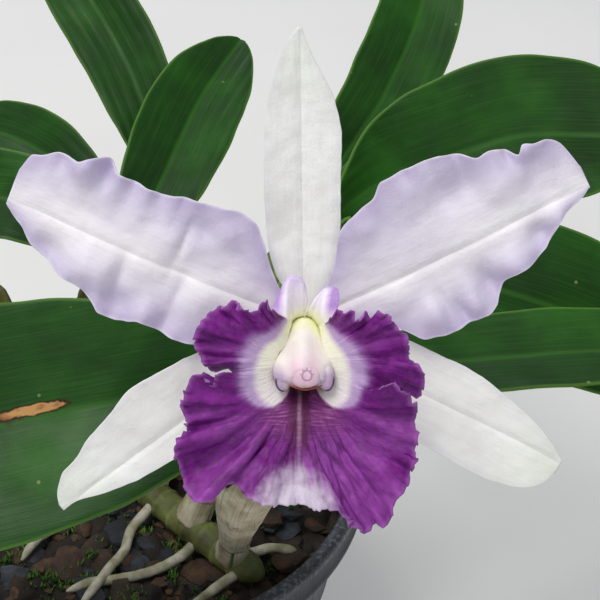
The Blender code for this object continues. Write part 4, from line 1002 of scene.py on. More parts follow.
def striations(tree, lay):
    """The fine lengthwise grain between the nerves."""
    long = add(tree, "CombineXYZ", {"X": lay["X"], "Y": lay["Y"]}).outputs["Vector"]
    long = add(tree, "Mapping", {"Vector": long, "Scale": (0.16, 1.5, 0)}).outputs["Vector"]
    return add(tree, "TexNoise", {"Vector": long, "Scale": 1, "Detail": 5, "Roughness": 0.65}).outputs["Fac"]


def sepal_colour(tree, lay, share, spot):
    """Milk white, greener towards the tip, faint lilac at the margins."""
    nerves = nerve_lines(tree, lay, share, 5, 1.2)
    cloud = add(tree, "TexNoise", {"Vector": spot, "Scale": 90, "Detail": 5}).outputs["Fac"]
    base = add(tree, "ValToRGB", {"Fac": cloud}, stops=[(0.3, "#E6E6E1"), (0.5, "#F0F0EC"), (0.75, "#F8F9F5")])
    tip = add(tree, "MapRange", {"Value": share["X"], "From Min": 0.72, "From Max": 1, "To Max": 0.55})
    skin = add(tree, "Mix", {0: tip.outputs["Result"], 6: base.outputs["Color"], 7: "#DCE3D2"},
               data_type="RGBA")
    rim = add(tree, "MapRange", {"Value": lay["Z"], "From Min": 0, "From Max": 2.4, "To Min": 0.3, "To Max": 0})
    skin = add(tree, "Mix", {0: rim.outputs["Result"], 6: skin.outputs[2], 7: "#D6D2DC"}, data_type="RGBA")
    faint = add(tree, "Math", {0: nerves, 1: 0.07}, operation="MULTIPLY").outputs[0]
    skin = add(tree, "Mix", {0: faint, 6: skin.outputs[2], 7: "#BDBFBE"}, data_type="RGBA")
    grain = striations(tree, lay)
    fine = add(tree, "MapRange", {"Value": grain, "From Min": 0.35, "From Max": 0.7, "To Max": 0.16})
    skin = add(tree, "Mix", {0: fine.outputs["Result"], 6: skin.outputs[2], 7: "#C9C8C6"}, data_type="RGBA")
    return midrib_line(tree, lay, skin.outputs[2], "#AEACA8", 0.25), grain


def tepal_relief(shape, start, wavy, seed, frill=0.0):
    """The tepal's channel, waves and crimped margin, the keel of its midrib and soft unevenness."""
    waves = [(side, (a - start) / (1 - start), *rest) for side, a, _, *rest in shape["waves"]]
    length = shape["length"] * (1 - start)

    def relief(t, across, half):
        sign = 1 if across > 0 else -1
        out = abs(across) * half
        run = t * length
        lift = shape["channel"] * (math.sqrt(out * out + 1.5) - math.sqrt(1.5))
        for side, begin, count, height, phase in waves:
            if side == sign and begin < t < 1:
                u = (t - begin) / (1 - begin)
                wave = math.sin(2 * math.pi * count * u + phase) * math.sin(math.pi * u) ** 0.5
                lift += height * wave * across**2
        for along, aside, long, wide, height in shape.get("dents", ()):
            near = ((run + start * length - along) / long) ** 2 + ((across * half - aside) / wide) ** 2
            lift += 1.25 * height * math.exp(-near)
        lift += wavy * uneven((run, across * half, 0), 11, seed) * min(1, 4 * t)
        lift += 0.16 * uneven((run, across * half, 0), 3.2, seed + 5)
        crimp = frill * abs(across) ** 7 * math.sin(run * 1.15 + 3 * uneven((run, sign * 30, 0), 9, seed))
        lift += crimp * min(1, 5 * t)
        lift -= 0.45 * math.exp(-((out / 0.9) ** 2)) * min(1, 8 * (1 - t))
        wider = (0.3 * frill + 0.12) * uneven((run, sign * 40, 0), 2.6, seed) * min(1, 6 * t)
        body = 0.42 + 0.58 * (1 - abs(across) ** 3) * (1 - 0.35 * t)
        return wider, lift, min(1, body)

    return relief


def tepal(name, shape, size, wavy, seed, finishes, wall, frill=0.0):
    """A sepal or petal from its measures."""
    angle = math.radians(shape["heading"])
    ahead = Vector((math.cos(angle), math.sin(angle), 0))
    base = Vector((*shape["base"], 0))
    start = shape["rise"][0][0]

    def route(t):
        s = start + (1 - start) * t
        return base + ahead * shape["length"] * s + Vector((0, 0, smooth(shape["rise"], s)))

    halves = [[((s - start) / (1 - start), half) for s, half in shape[side]] for side in ("left", "right")]
    obj = blade(name, route, *halves, lambda t: Vector((0, 0, 1)),
                tepal_relief(shape, start, wavy, seed, frill), size, finishes, wall)
    obj.data.transform(Matrix.Scale(MM, 4) @ TO_PLANT @ Matrix.Scale(1 / MM, 4))
    return obj


sepal_front = flower_tissue("sepal_tissue", sepal_colour)
for sepal_name, sepal_shape, sepal_seed in (("dorsal_sepal", DORSAL_SEPAL, 3),
                                            ("lateral_sepal_left", LATERAL_SEPAL_LEFT, 17),
                                            ("lateral_sepal_right", LATERAL_SEPAL_RIGHT, 29)):
    in_place(tepal(sepal_name + "_blade", sepal_shape, (140, 56), 0.35, sepal_seed, [sepal_front], SEPAL_WALL),
             "sepal", sepal_name)

# Petals: two broad, thin lavender-white blades with crimped, waved margins, set between the sepals. They are
# the softest tissue of the bloom, whitest along the midrib and flushed with lilac outwards; the deepest lilac at
# the margins is painted shade.
PETAL_WALL = 0.8
PETAL_LEFT = {
    "heading": 155.7, "base": (-1.1, 3.8), "length": 68.5,
    "rise": [(0.035, 0.5), (0.12, 1.3), (0.3, 2.6), (0.65, 3.0), (1, 1.0)],
    "left": [(0.035, 1.7), (0.1, 4.5), (0.2, 10.6), (0.285, 14.2), (0.34, 14.7), (0.4, 14.5), (0.47, 13.6),
             (0.51, 15.1), (0.555, 15.9), (0.6, 15.5), (0.64, 13.6), (0.69, 11.9), (0.76, 11.1),
             (0.82, 9.7), (0.88, 7.9), (0.935, 4.6), (0.98, 2.7), (1, 1.4)],
    "right": [(0.035, 1.7), (0.1, 5.2), (0.15, 8.6), (0.22, 14.4), (0.26, 17.0), (0.32, 18.1), (0.38, 17.2),
              (0.45, 16.6), (0.51, 15.9), (0.57, 14.7), (0.64, 14.8), (0.71, 15.0), (0.76, 17.2),
              (0.8, 16.1), (0.84, 14.0), (0.9, 13.8), (0.95, 11.6), (0.98, 10.8), (1, 6.5)],
    "channel": 0.06,
    "waves": [(1, 0.3, 1.0, 5, 0.7, 0.4), (-1, 0.5, 1.0, 5, 0.8, 1.2)],
    "dents": [(46.7, 7.1, 5.5, 4.5, 2.2), (40.3, 7.5, 2.0, 5.0, -1.5), (57, 7.2, 4.5, 3.0, -1.7),
              (35.9, 1.5, 4.5, 3.5, 0.8), (22.3, 3.4, 3.5, 4, 1.0), (26.7, 5, 1.5, 4, -0.7),
              (33.5, -5, 4, 4, 1.0), (30.3, -6.5, 1.2, 5, -0.7), (55.9, -13.6, 3.2, 3, 1.7),
              (51, -14.5, 1.6, 3, -1.4), (61, -13, 1.8, 3, -1.3), (26.9, -11.2, 4, 2.5, -0.8),
              (22, -12.5, 3, 3, 0.8), (38.5, 12, 3.6, 3, -1.5), (32, 12, 3.2, 3, 1.1), (27, 12, 2.4, 3, -0.9),
              (50, -4.5, 7, 3, -0.7)],
}
PETAL_RIGHT = {
    "heading": 27.3, "base": (1.1, 3.8), "length": 67.8,
    "rise": [(0.035, 0.5), (0.12, 1.3), (0.3, 2.6), (0.65, 3.0), (1, 1.0)],
    "left": [(0.035, 1.7), (0.1, 4.9), (0.17, 9.6), (0.24, 15.9), (0.32, 18.0), (0.37, 18.8), (0.42, 21.3),
             (0.5, 21.7), (0.6, 21.2), (0.67, 19.5), (0.72, 16.9), (0.77, 16.5), (0.81, 15.2),
             (0.834, 13.5), (0.86, 15.1), (0.89, 14.1), (0.935, 13.3), (0.97, 11.2), (1, 4.0)],
    "right": [(0.035, 1.7), (0.1, 4.5), (0.18, 6.6), (0.26, 10.6), (0.32, 15.1), (0.4, 16.2), (0.53, 16.3),
              (0.57, 15.5), (0.6, 13.2), (0.63, 11.2), (0.67, 10.3), (0.73, 9.9), (0.79, 8.9), (0.845, 5.8),
              (0.89, 3.5), (0.96, 2.3), (1, 0.8)],
    "channel": 0.06,
    "waves": [(1, 0.5, 1.0, 5, 0.8, 0.9), (-1, 0.3, 1.0, 5, 0.6, 2.0)],
    "dents": [(54.3, -5.0, 3.0, 2.8, -2.0), (59, -3.5, 2.5, 3, 0.9), (45.5, -8.5, 4.0, 3.5, 1.7),
              (39.4, -10.5, 3.0, 5.0, -2.4), (35, -12.5, 2.2, 4, 1.3), (31.2, -13, 2.0, 4, -1.5),
              (25.6, -10.5, 3.0, 4, 1.6), (28.5, -10, 1.2, 4, -0.8), (20.3, -3.7, 4.5, 4, 1.0),
              (41.9, 12.3, 7, 4, -1.5), (58.5, 13.7, 3.0, 2.6, 1.8), (54.8, 14.8, 1.3, 3, -1.6),
              (20.3, 14.3, 3.2, 3.2, 1.0), (50.7, 9, 5, 3, 0.7), (33, 16, 4, 4, 0.9)],
}


def petal_colour(tree, lay, share, spot):
    """White along the midrib, lavender outwards and deeper towards the margin, partly as painted shade, with pale
    branching nerves.
    """
    nerves = nerve_lines(tree, lay, share, 9, 2.4)
    away = add(tree, "Math", {0: share["Y"]}, operation="ABSOLUTE").outputs[0]
    cloud = add(tree, "TexNoise", {"Vector": spot, "Scale": 75, "Detail": 6, "Roughness": 0.6})
    drift = add(tree, "Math", {0: cloud.outputs["Fac"], 1: 0.6, 2: -0.3}, operation="MULTIPLY_ADD")
    flush_and_painted_shade = add(tree, "Math", {0: away, 1: drift.outputs[0]}, operation="ADD").outputs[0]
    # Painted shade: the flush's outer stops are darker than the tissue, to shade the margins; the lavender itself
    # is the petal's own.
    base = add(tree, "ValToRGB", {"Fac": flush_and_painted_shade},
               stops=[(0, "#F2EFF1"), (0.35, "#E5E0EA"), (0.7, "#D2CADF"), (1, "#BFB4D2")])
    rim = add(tree, "MapRange", {"Value": lay["Z"], "From Min": 0, "From Max": 0.7, "To Min": 0.5, "To Max": 0})
    skin = add(tree, "Mix", {0: rim.outputs["Result"], 6: base.outputs["Color"], 7: "#E9E4F4"},
               data_type="RGBA")
    faint = add(tree, "Math", {0: nerves, 1: 0.06}, operation="MULTIPLY").outputs[0]
    skin = add(tree, "Mix", {0: faint, 6: skin.outputs[2], 7: "#C0B6CE"}, data_type="RGBA")
    grain = striations(tree, lay)
    fine = add(tree, "MapRange", {"Value": grain, "From Min": 0.35, "From Max": 0.7, "To Max": 0.2})
    skin = add(tree, "Mix", {0: fine.outputs["Result"], 6: skin.outputs[2], 7: "#BFB7CB"}, data_type="RGBA")
    return midrib_line(tree, lay, skin.outputs[2], "#A7A2A8", 0.2), grain


petal_front = flower_tissue("petal_tissue", petal_colour)
in_place(tepal("petal_left_blade", PETAL_LEFT, (210, 112), 0.7, 41, [petal_front], PETAL_WALL, 0.25),
         "petal", "petal_left")
in_place(tepal("petal_right_blade", PETAL_RIGHT, (210, 112), 0.7, 53, [petal_front], PETAL_WALL, 0.25),
         "petal", "petal_right")

# Lip: the third petal, rolled into a tube round the column and spread at its mouth into a ruffled apron. It is
# the same tissue, stained magenta outside a cream throat, and grows from the column's foot.
LIP_WALL = 0.6
LIP_CENTRE = Vector((0, -0.8, 0))
LIP_ROWS = 86
LIP_FOOT_RADIUS = 4.6
LIP_MOUTH_RADIUS = [(97, 7.0), (109, 9.2), (131, 8.3), (153, 9.4), (180, 9.8), (210, 10.6), (270, 10.8),
                    (324, 10.9), (347, 9.8), (373, 9.2), (403, 8.5), (419, 9.0), (443, 7.0)]
LIP_MOUTH_HEIGHT = [(97, 6.5), (104, 9.5), (113, 13), (135, 17.5), (160, 19.5), (180, 20), (225, 20.5),
                    (320, 20.5), (360, 20), (385, 19), (405, 17), (419, 13), (432, 9.5), (443, 6.5)]
HORN_FOLDS = {
    "left horn": [(0.1, 7.0, 7.1), (0.6, 10.6, 8.6), (0.1, 14.2, 9.6), (-1.3, 16.2, 10), (-2.6, 16.2, 10.2),
                  (-3.7, 13.4, 11.2), (-3.9, 10.4, 12.4), (-3.56, 7.6, 13)],
    "right horn": [(4.63, 6.9, 13), (4.2, 9.4, 12.6), (4.5, 12.0, 11.6), (5.0, 13.7, 10.7),
                   (4.8, 13.9, 10.4), (3.3, 12.4, 9.6), (1.4, 9.0, 7.8), (0.7, 7.0, 6.9)],
}
HORN_BASES = {
    "left horn": [(-0.1, 6.2, 5.8), (0, 7.2, 7), (-0.9, 7.8, 8), (-2.0, 7.4, 8.6), (-2.9, 6.4, 9.4)],
    "right horn": [(3.6, 5.7, 9.4), (2.8, 6.8, 8.4), (2.2, 7.4, 7.6), (1.1, 7.2, 6.8), (0.6, 6.2, 5.8)],
}
LIP_LOBES = [
    ("left horn", 97, 113, 34, 0, [
        (0.2, 7.1, 7.0), (0.9, 10.6, 8.4), (0.5, 14.4, 9.5), (-1.2, 16.8, 9.8), (-2.8, 17.0, 9.8),
        (-4.4, 14.6, 9.8), (-5.7, 12.0, 10.6), (-6.4, 10.2, 12), (-6.2, 9.4, 14.5)]),
    ("left side lobe", 113, 180, 108, 4, [
        (-4.9, 10.4, 17), (-6.9, 13.0, 20), (-8.5, 14.6, 22), (-9.5, 12.4, 20), (-11.6, 12.8, 22),
        (-13.0, 14.4, 22.5), (-15.3, 14.0, 21), (-18.9, 12.2, 20), (-21.5, 10.1, 21.5), (-22.9, 5.4, 19.5),
        (-21.6, 1.9, 19.5), (-20.8, 0.7, 20.5), (-18.6, -1.3, 18.5), (-16.1, -0.6, 18.8), (-14.6, -2.0, 19)]),
    ("middle lobe", 180, 346, 236, 9, [
        (-14.6, -3.0, 21.5), (-16.3, 0.4, 24), (-18.1, 0.2, 25), (-18.9, -2.8, 24.6), (-19.8, -2.4, 24.8),
        (-21.2, 0.6, 26.2), (-22.6, -0.4, 26), (-24.9, -4.2, 24), (-25.8, -7.7, 22.5), (-24.6, -11.0, 24.5),
        (-24.7, -13.6, 23), (-26.5, -13.4, 26), (-27.3, -16.1, 26), (-26.2, -21.2, 25), (-24.8, -25.5, 27),
        (-21.9, -26.9, 28.5), (-20.0, -26.9, 28.5), (-18.6, -25.3, 27), (-15.2, -24.4, 27),
        (-11.0, -27.1, 27.5), (-7.9, -27.2, 29), (-3.7, -27.9, 28.5), (0.5, -28.2, 29), (2.8, -29.3, 29.5),
        (4.8, -28.6, 28.5), (6.9, -28.7, 28.5), (8.9, -29.8, 29), (10.2, -31.8, 30), (13.4, -34.4, 30),
        (15.2, -32.8, 28.5), (16.8, -33.0, 28.5), (18.6, -31.2, 27), (19.4, -28.1, 26.5), (22.3, -24.4, 27),
        (22.5, -22.2, 25.5), (23.9, -19.0, 26), (23.4, -17.2, 24.5), (24.2, -13.6, 25.5), (23.4, -11.2, 24),
        (23.8, -8.3, 25), (22.4, -4.6, 27), (20.7, -2.0, 28), (18.6, -0.6, 28.5), (16.8, -1.2, 27.8),
        (15.6, -3.2, 26), (14.8, -6.0, 23.5)]),
    ("right side lobe", 346, 419, 108, 4, [
        (14.6, -8.0, 20.5), (19.6, -9.5, 18), (22.8, -8.3, 18), (24.8, -6.4, 19), (25.6, -2.9, 19.5),
        (23.9, 1.0, 20.5), (22.0, 2.4, 19.5), (22.1, 4.0, 20), (21.4, 6.8, 21), (19.7, 8.8, 20),
        (16.7, 12.2, 22.5), (14.8, 9.8, 20), (13.1, 11.7, 22), (11.0, 11.5, 21.5), (9.6, 12.8, 22),
        (8.3, 12.7, 21.5), (6.5, 11.8, 20.5), (5.4, 9.2, 17.5)]),
    ("right horn", 419, 443, 34, 0, [
        (5.6, 8.4, 15), (7.2, 10.0, 13), (7.7, 12.4, 11.5), (7.4, 14.1, 10.5), (5.5, 14.6, 10.3),
        (3.7, 13.2, 9.4), (1.5, 9.2, 7.5), (0.9, 7.1, 6.8)]),
]
LIP_SHELF_WIDTH = [(113, 1.7), (140, 3.0), (180, 3.7), (225, 3.8), (270, 3.4), (315, 3.8), (360, 3.7),
                   (395, 3.0), (419, 1.7)]
LIP_SHELF_DROP = [(113, 1.4), (140, 2.0), (180, 2.0), (225, 2.4), (270, 4.2), (315, 2.4), (360, 2.0),
                  (395, 2.0), (419, 1.4)]
LIP_RUFFLE = 1.1
LIP_BRIM = 0.34
LIP_BRIM_FLARE = 0.55
LIP_TEETH = 0.5
LIP_CRIMP = 1.15
LIP_CRIMP_LENGTH = 3.7
LIP_CRISP = 0.4
LIP_CRISP_LENGTH = 1.5
LIP_FOLD = 0.95
LIP_FOLD_SHARE = [(97, 0.1), (113, 0.35), (180, 0.7), (205, 1), (240, 0.9), (262, 0.4), (282, 0.4),
                  (300, 1), (340, 1.1), (360, 0.7), (419, 0.35), (443, 0.1)]
LIP_PUCKER = 0.3

# How far out of the fold the stain begins, and how fast it comes on, by the angle round the mouth
STAIN_START = [(113, 2.8), (130, 3.8), (150, 5.4), (190, 5.4), (212, 3.4), (228, 1.0), (240, -3), (250, -9),
               (290, -9), (300, -3), (312, 1.0), (328, 3.4), (350, 5.4), (390, 5.0), (405, 3.8), (419, 2.8)]
STAIN_SOFTNESS = [(113, 0.7), (150, 1), (190, 1), (225, 0.5), (240, 0.7), (300, 0.7), (315, 0.5), (350, 1),
                  (390, 1), (419, 0.7)]
STREAK_MIDDLE = -0.85
STREAK_WIDTH = 3.3
PALE_PATCH = (-0.9, 9.0, 8.6)


def mouth_ring(turn):
    """The point of the lip's mouth at an angle in degrees."""
    radius = smooth(LIP_MOUTH_RADIUS, turn)
    angle = math.radians(turn)
    height = smooth(LIP_MOUTH_HEIGHT, turn)
    return LIP_CENTRE + Vector((radius * math.cos(angle), radius * math.sin(angle), height))


def lip_line(turn, mouth, margin, base):
    """The points of the lip from its foot to its margin at one angle.

    Its throat closes in on the column, then opens as a shelf to the mouth. A horn rises from its own base.
    """
    angle = math.radians(turn)
    out = Vector((math.cos(angle), math.sin(angle), 0))
    foot = out * LIP_FOOT_RADIUS + Vector((0, 0, 1.6 + 0.8 * math.sin(angle)))
    top = max(0, math.sin(angle) - 0.7) / 0.3
    shelf = mouth - out * smooth(LIP_SHELF_WIDTH, turn) - Vector((0, 0, smooth(LIP_SHELF_DROP, turn)))
    throat = foot.lerp(shelf, 0.6) + out * 0.4
    reach = (margin - mouth).length * LIP_BRIM
    way = (margin - mouth).normalized().lerp(out, LIP_BRIM_FLARE * (1 - top))
    brim = mouth + way * reach + Vector((0, 0, 1.2 * min(1, (margin - mouth).length / 12) * (1 - top)))
    return [foot, base, mouth, brim, margin] if base else [foot, throat, shelf, mouth, brim, margin]


def lip_columns():
    """Each line of the lip: its angle, its points, how far round the margin it ends, how freely it ruffles
    and if it is a horn."""
    found, run, last = [], 0.0, None
    for index, (name, start, end, count, ruffles, margin) in enumerate(LIP_LOBES):
        edge = through(margin)
        fold, base = (through(group[name]) if name in group else None for group in (HORN_FOLDS, HORN_BASES))
        for k in range(count + (index == len(LIP_LOBES) - 1)):
            t = k / count
            turn = start + (end - start) * t
            mouth = fold(t) if fold else mouth_ring(turn)
            wave = math.sin(2 * math.pi * ruffles * t) * math.sin(math.pi * t) ** 0.5
            place = edge(t)
            run += (place - last).length if last else 0
            last = place
            free = 0.1 if fold else min(1, 0.15 + 5 * t, 0.15 + 5 * (1 - t))
            bite = uneven((run, 0, 0), 1.3) + 0.7 * uneven((run, 5, 0), 0.6)
            place = place + (place - mouth).normalized() * LIP_TEETH * free * bite
            place.z += LIP_RUFFLE * wave
            found.append((turn, lip_line(turn, mouth, place, base(t) if base else None), run, free, bool(fold)))
    return found


def lip_sheet(name, finishes):
    """The lip's lines side by side as one sheet, then folded, crimped and given its thickness.

    Its attributes: lay holds the angle, the distance out of the fold and that from the margin, stain how
    far into the stained part a point is, the pale patch and the streaks, and share its place in the bloom.
    """
    stations = lip_columns()
    columns = len(stations) - 1
    lines = []
    for turn, points, run, free, horn in stations:
        spans = [(b - a).length for a, b in zip(points, points[1:])]
        lines.append((turn, through(points), run, free, horn, sum(spans), sum(spans[:-2])))
    bm = bmesh.new()
    bmesh.ops.create_grid(bm, x_segments=columns, y_segments=LIP_ROWS, size=1)
    lay = bm.verts.layers.float_vector.new("lay")
    share = bm.verts.layers.float_vector.new("share")
    stain = bm.verts.layers.float_vector.new("stain")
    wall = bm.verts.layers.deform.verify()
    runs = {}
    for vert in bm.verts:
        turn, line, run, free, horn, length, mouth = lines[round((vert.co.x + 1) / 2 * columns)]
        t = (vert.co.y + 1) / 2
        t = t + 0.12 * math.sin(math.pi * t) * (1 - t)
        vert.co = line(t)
        away, margin = t * length - mouth, (1 - t) * length
        vert[lay] = (turn, away, margin)
        vert[share] = vert.co
        runs[vert] = (run, free)
        if not horn:
            middle, wide, deep = PALE_PATCH
            pale = 1 - math.hypot((vert.co.x - middle) / wide, margin / deep) if 200 < turn < 320 else -1
            streak = 1 - abs(vert.co.x - STREAK_MIDDLE) / STREAK_WIDTH if 215 < turn < 325 else -1
            vert[stain] = ((away - smooth(STAIN_START, turn)) / smooth(STAIN_SOFTNESS, turn), pale, streak)
        else:
            vert[stain] = (-6, -1, -1)
    bmesh.ops.reverse_faces(bm, faces=bm.faces)
    bm.normal_update()
    moves = []
    for vert in bm.verts:
        turn, away, margin = vert[lay]
        run, free = runs[vert]
        open_part = max(0, min(1, (away - 1.5) / 6))
        fold = math.sin(math.radians(turn) * 23 + 1.8 * uneven((turn * 0.6, away * 0.2, 0), 6))
        fold += 0.45 * math.sin(math.radians(turn) * 41 + 2.5 * uneven((turn * 0.5, away * 0.3, 8), 4))
        fold *= LIP_FOLD * smooth(LIP_FOLD_SHARE, turn) * open_part
        fold *= 0.6 + 0.7 * uneven((turn * 0.3, away * 0.3, 7), 3)
        crimp = math.sin(2 * math.pi * run / LIP_CRIMP_LENGTH + 2.5 * uneven((run, 0, 3), 7))
        crimp *= LIP_CRIMP * math.exp(-margin / 2.6) * (0.5 + 1.1 * abs(uneven((run, 0, 9), 5)))
        crisp = math.sin(2 * math.pi * run / LIP_CRISP_LENGTH + 3 * uneven((run, 0, 5), 4))
        crisp *= LIP_CRISP * math.exp(-margin / 1.1)
        pucker = LIP_PUCKER * (0.5 * uneven(vert.co, 0.9) + uneven(vert.co, 2.0, 3)) * open_part
        moves.append((vert, vert.normal.copy() * (fold + crimp + crisp + pucker) * free))
        vert[wall][0] = 0.5 + 0.5 * min(1, margin / 6)
    for vert, move in moves:
        vert.co += move
    bmesh.ops.transform(bm, matrix=TO_PLANT, verts=bm.verts)
    obj = keep(name, bm, *finishes)
    obj.vertex_groups.new(name="body")
    skin = obj.modifiers.new("thickness", "SOLIDIFY")
    skin.thickness = LIP_WALL * MM
    skin.offset = 0
    skin.vertex_group = "body"
    skin.material_offset = len(finishes) - 1
    return obj


def lip_colour(tree, lay, share, spot):
    """Cream throat, lavender brim, magenta apron with darker forking nerves and painted highlights of lighter
    violet low down, and a pale patch at its foot.
    """
    stain = add(tree, "SeparateXYZ", {"Vector": add(tree, "Attribute", attribute_name="stain")
                                      .outputs["Vector"]}).outputs
    fan = add(tree, "CombineXYZ", {"X": lay["X"], "Y": lay["Y"]}).outputs["Vector"]
    drift = add(tree, "TexNoise", {"Vector": spot, "Scale": 330, "Detail": 3}).outputs["Fac"]
    drift = add(tree, "Math", {0: drift, 1: 2.2, 2: -1.1}, operation="MULTIPLY_ADD").outputs[0]
    bend = add(tree, "VectorMath", {0: add(tree, "TexNoise", {"Vector": spot, "Scale": 120, "Detail": 2})
                                    .outputs["Color"], 1: (5, 8, 0)}, operation="MULTIPLY").outputs[0]
    bent = add(tree, "VectorMath", {0: fan, 1: bend}, operation="ADD").outputs[0]
    cells = add(tree, "Mapping", {"Vector": bent, "Scale": (0.2, 0.075, 0)}).outputs["Vector"]
    fork = add(tree, "TexVoronoi", {"Vector": cells, "Scale": 1}, feature="DISTANCE_TO_EDGE",
               voronoi_dimensions="2D").outputs["Distance"]
    nerve = add(tree, "MapRange", {"Value": fork, "From Min": 0.02, "From Max": 0.2, "To Min": 1, "To Max": 0},
                interpolation_type="SMOOTHSTEP").outputs["Result"]
    fine = add(tree, "Mapping", {"Vector": bent, "Scale": (0.55, 0.16, 0)}).outputs["Vector"]
    fine = add(tree, "TexNoise", {"Vector": fine, "Scale": 1, "Detail": 5, "Roughness": 0.6}).outputs["Fac"]
    fine = add(tree, "MapRange", {"Value": fine, "From Min": 0.45, "From Max": 0.65, "To Max": 0.45},
               interpolation_type="SMOOTHSTEP").outputs["Result"]
    cloud = add(tree, "TexNoise", {"Vector": spot, "Scale": 150, "Detail": 6, "Roughness": 0.6})
    magenta = add(tree, "ValToRGB", {"Fac": cloud.outputs["Fac"]},
                  stops=[(0.3, "#560A60"), (0.5, "#6E0F78"), (0.72, "#882494")])
    low = add(tree, "MapRange", {"Value": share["Y"], "From Min": -7, "From Max": -15}).outputs["Result"]
    # Painted highlight: patches of lighter violet over the lower apron stand in for light on its pleats.
    painted_highlight_pool = add(tree, "TexNoise", {"Vector": spot, "Scale": 90, "Detail": 4}).outputs["Fac"]
    painted_highlight_pool = add(tree, "MapRange", {"Value": painted_highlight_pool, "From Min": 0.42, "From Max": 0.62}).outputs["Result"]
    painted_highlight_pool = add(tree, "Math", {0: painted_highlight_pool, 1: low}, operation="MULTIPLY").outputs[0]
    painted_highlight_pool = add(tree, "Math", {0: painted_highlight_pool, 1: 0.5}, operation="MULTIPLY").outputs[0]
    magenta = add(tree, "Mix", {0: painted_highlight_pool, 6: magenta.outputs["Color"], 7: "#A658B4"}, data_type="RGBA")
    centre = add(tree, "Math", {0: share["X"]}, operation="ABSOLUTE").outputs[0]
    centre = add(tree, "MapRange", {"Value": centre, "From Min": 15, "From Max": 7}).outputs["Result"]
    strong = add(tree, "Math", {0: low, 1: centre}, operation="MULTIPLY").outputs[0]
    strong = add(tree, "Math", {0: strong, 1: 0.55, 2: 0.15}, operation="MULTIPLY_ADD").outputs[0]
    deep = add(tree, "Math", {0: nerve, 1: strong}, operation="MULTIPLY").outputs[0]
    deep = add(tree, "Math", {0: deep, 1: fine}, operation="MAXIMUM").outputs[0]
    stained = add(tree, "Mix", {0: deep, 6: magenta.outputs[2], 7: "#3C0644"}, data_type="RGBA")
    grain = add(tree, "TexNoise", {"Vector": spot, "Scale": 1100, "Detail": 3}).outputs["Fac"]
    grain = add(tree, "MapRange", {"Value": grain, "From Min": 0.35, "From Max": 0.65, "To Max": 0.28})
    stained = add(tree, "Mix", {0: grain.outputs["Result"], 6: stained.outputs[2], 7: "#8E2C9C"},
                  data_type="RGBA")
    rim = add(tree, "MapRange", {"Value": lay["Z"], "From Min": 0, "From Max": 1.4, "To Min": 0.5, "To Max": 0},
              interpolation_type="SMOOTHSTEP")
    stained = add(tree, "Mix", {0: rim.outputs["Result"], 6: stained.outputs[2], 7: "#A764B4"},
                  data_type="RGBA")
    reach = add(tree, "Math", {0: drift, 1: 0.7, 2: stain["X"]}, operation="MULTIPLY_ADD").outputs[0]
    reach = add(tree, "Math", {0: deep, 1: 0.8, 2: reach}, operation="MULTIPLY_ADD").outputs[0]
    brim = add(tree, "ValToRGB", {"Fac": add(tree, "MapRange", {"Value": reach, "From Min": -6, "From Max": 1})
                                  .outputs["Result"]},
               stops=[(0, "#EAE2DC"), (0.14, "#D0C0D8"), (0.32, "#BDA2CC"), (0.55, "#B89AC6"),
                      (0.78, "#9866A8"), (1, "#7A2C88")])
    out = add(tree, "MapRange", {"Value": reach, "From Min": -2.2, "From Max": 1.3},
              interpolation_type="SMOOTHSTEP").outputs["Result"]
    high = add(tree, "MapRange", {"Value": share["Y"], "From Min": -5, "From Max": 4}).outputs["Result"]
    wall = add(tree, "Mix", {0: high, 6: "#E9E1E0", 7: "#EFEFD6"}, data_type="RGBA")
    green = add(tree, "MapRange", {"Value": share["Z"], "From Min": 15, "From Max": 8}).outputs["Result"]
    wall = add(tree, "Mix", {0: green, 6: wall.outputs[2], 7: "#E9EEAE"}, data_type="RGBA")
    inside = add(tree, "MapRange", {"Value": lay["Y"], "From Min": 1.0, "From Max": -0.8}).outputs["Result"]
    brim = add(tree, "Mix", {0: inside, 6: brim.outputs["Color"], 7: wall.outputs[2]}, data_type="RGBA")
    skin = add(tree, "Mix", {0: out, 6: brim.outputs[2], 7: stained.outputs[2]}, data_type="RGBA")
    pale = add(tree, "Math", {0: drift, 1: 0.35, 2: stain["Y"]}, operation="MULTIPLY_ADD").outputs[0]
    pale = add(tree, "Math", {0: deep, 1: -0.1, 2: pale}, operation="MULTIPLY_ADD").outputs[0]
    pale = add(tree, "MapRange", {"Value": pale, "From Min": -0.25, "From Max": 0.65, "To Max": 0.9},
               interpolation_type="SMOOTHSTEP").outputs["Result"]
    skin = add(tree, "Mix", {0: pale, 6: skin.outputs[2], 7: "#D8CEDE"}, data_type="RGBA")
    across = add(tree, "CombineXYZ", {"X": share["X"], "Y": share["Y"]}).outputs["Vector"]
    across = add(tree, "Mapping", {"Vector": across, "Scale": (0.3, 2.6, 0)}).outputs["Vector"]
    wrinkle = add(tree, "TexNoise", {"Vector": across, "Scale": 1, "Detail": 4}).outputs["Fac"]
    side = add(tree, "Math", {0: share["X"]}, operation="ABSOLUTE").outputs[0]
    floor_part = add(tree, "MapRange", {"Value": side, "From Min": 11, "From Max": 6}).outputs["Result"]
    below = add(tree, "MapRange", {"Value": share["Y"], "From Min": -17, "From Max": -11}).outputs["Result"]
    above = add(tree, "MapRange", {"Value": share["Y"], "From Min": -3, "From Max": -6}).outputs["Result"]
    floor_part = add(tree, "Math", {0: floor_part, 1: below}, operation="MULTIPLY").outputs[0]
    floor_part = add(tree, "Math", {0: floor_part, 1: above}, operation="MULTIPLY").outputs[0]
    floor_part = add(tree, "Math", {0: floor_part, 1: out}, operation="MULTIPLY").outputs[0]
    lined = add(tree, "ValToRGB", {"Fac": wrinkle},
                stops=[(0.36, "#5A1A4C"), (0.5, "#7E3474"), (0.66, "#A56A9C")])
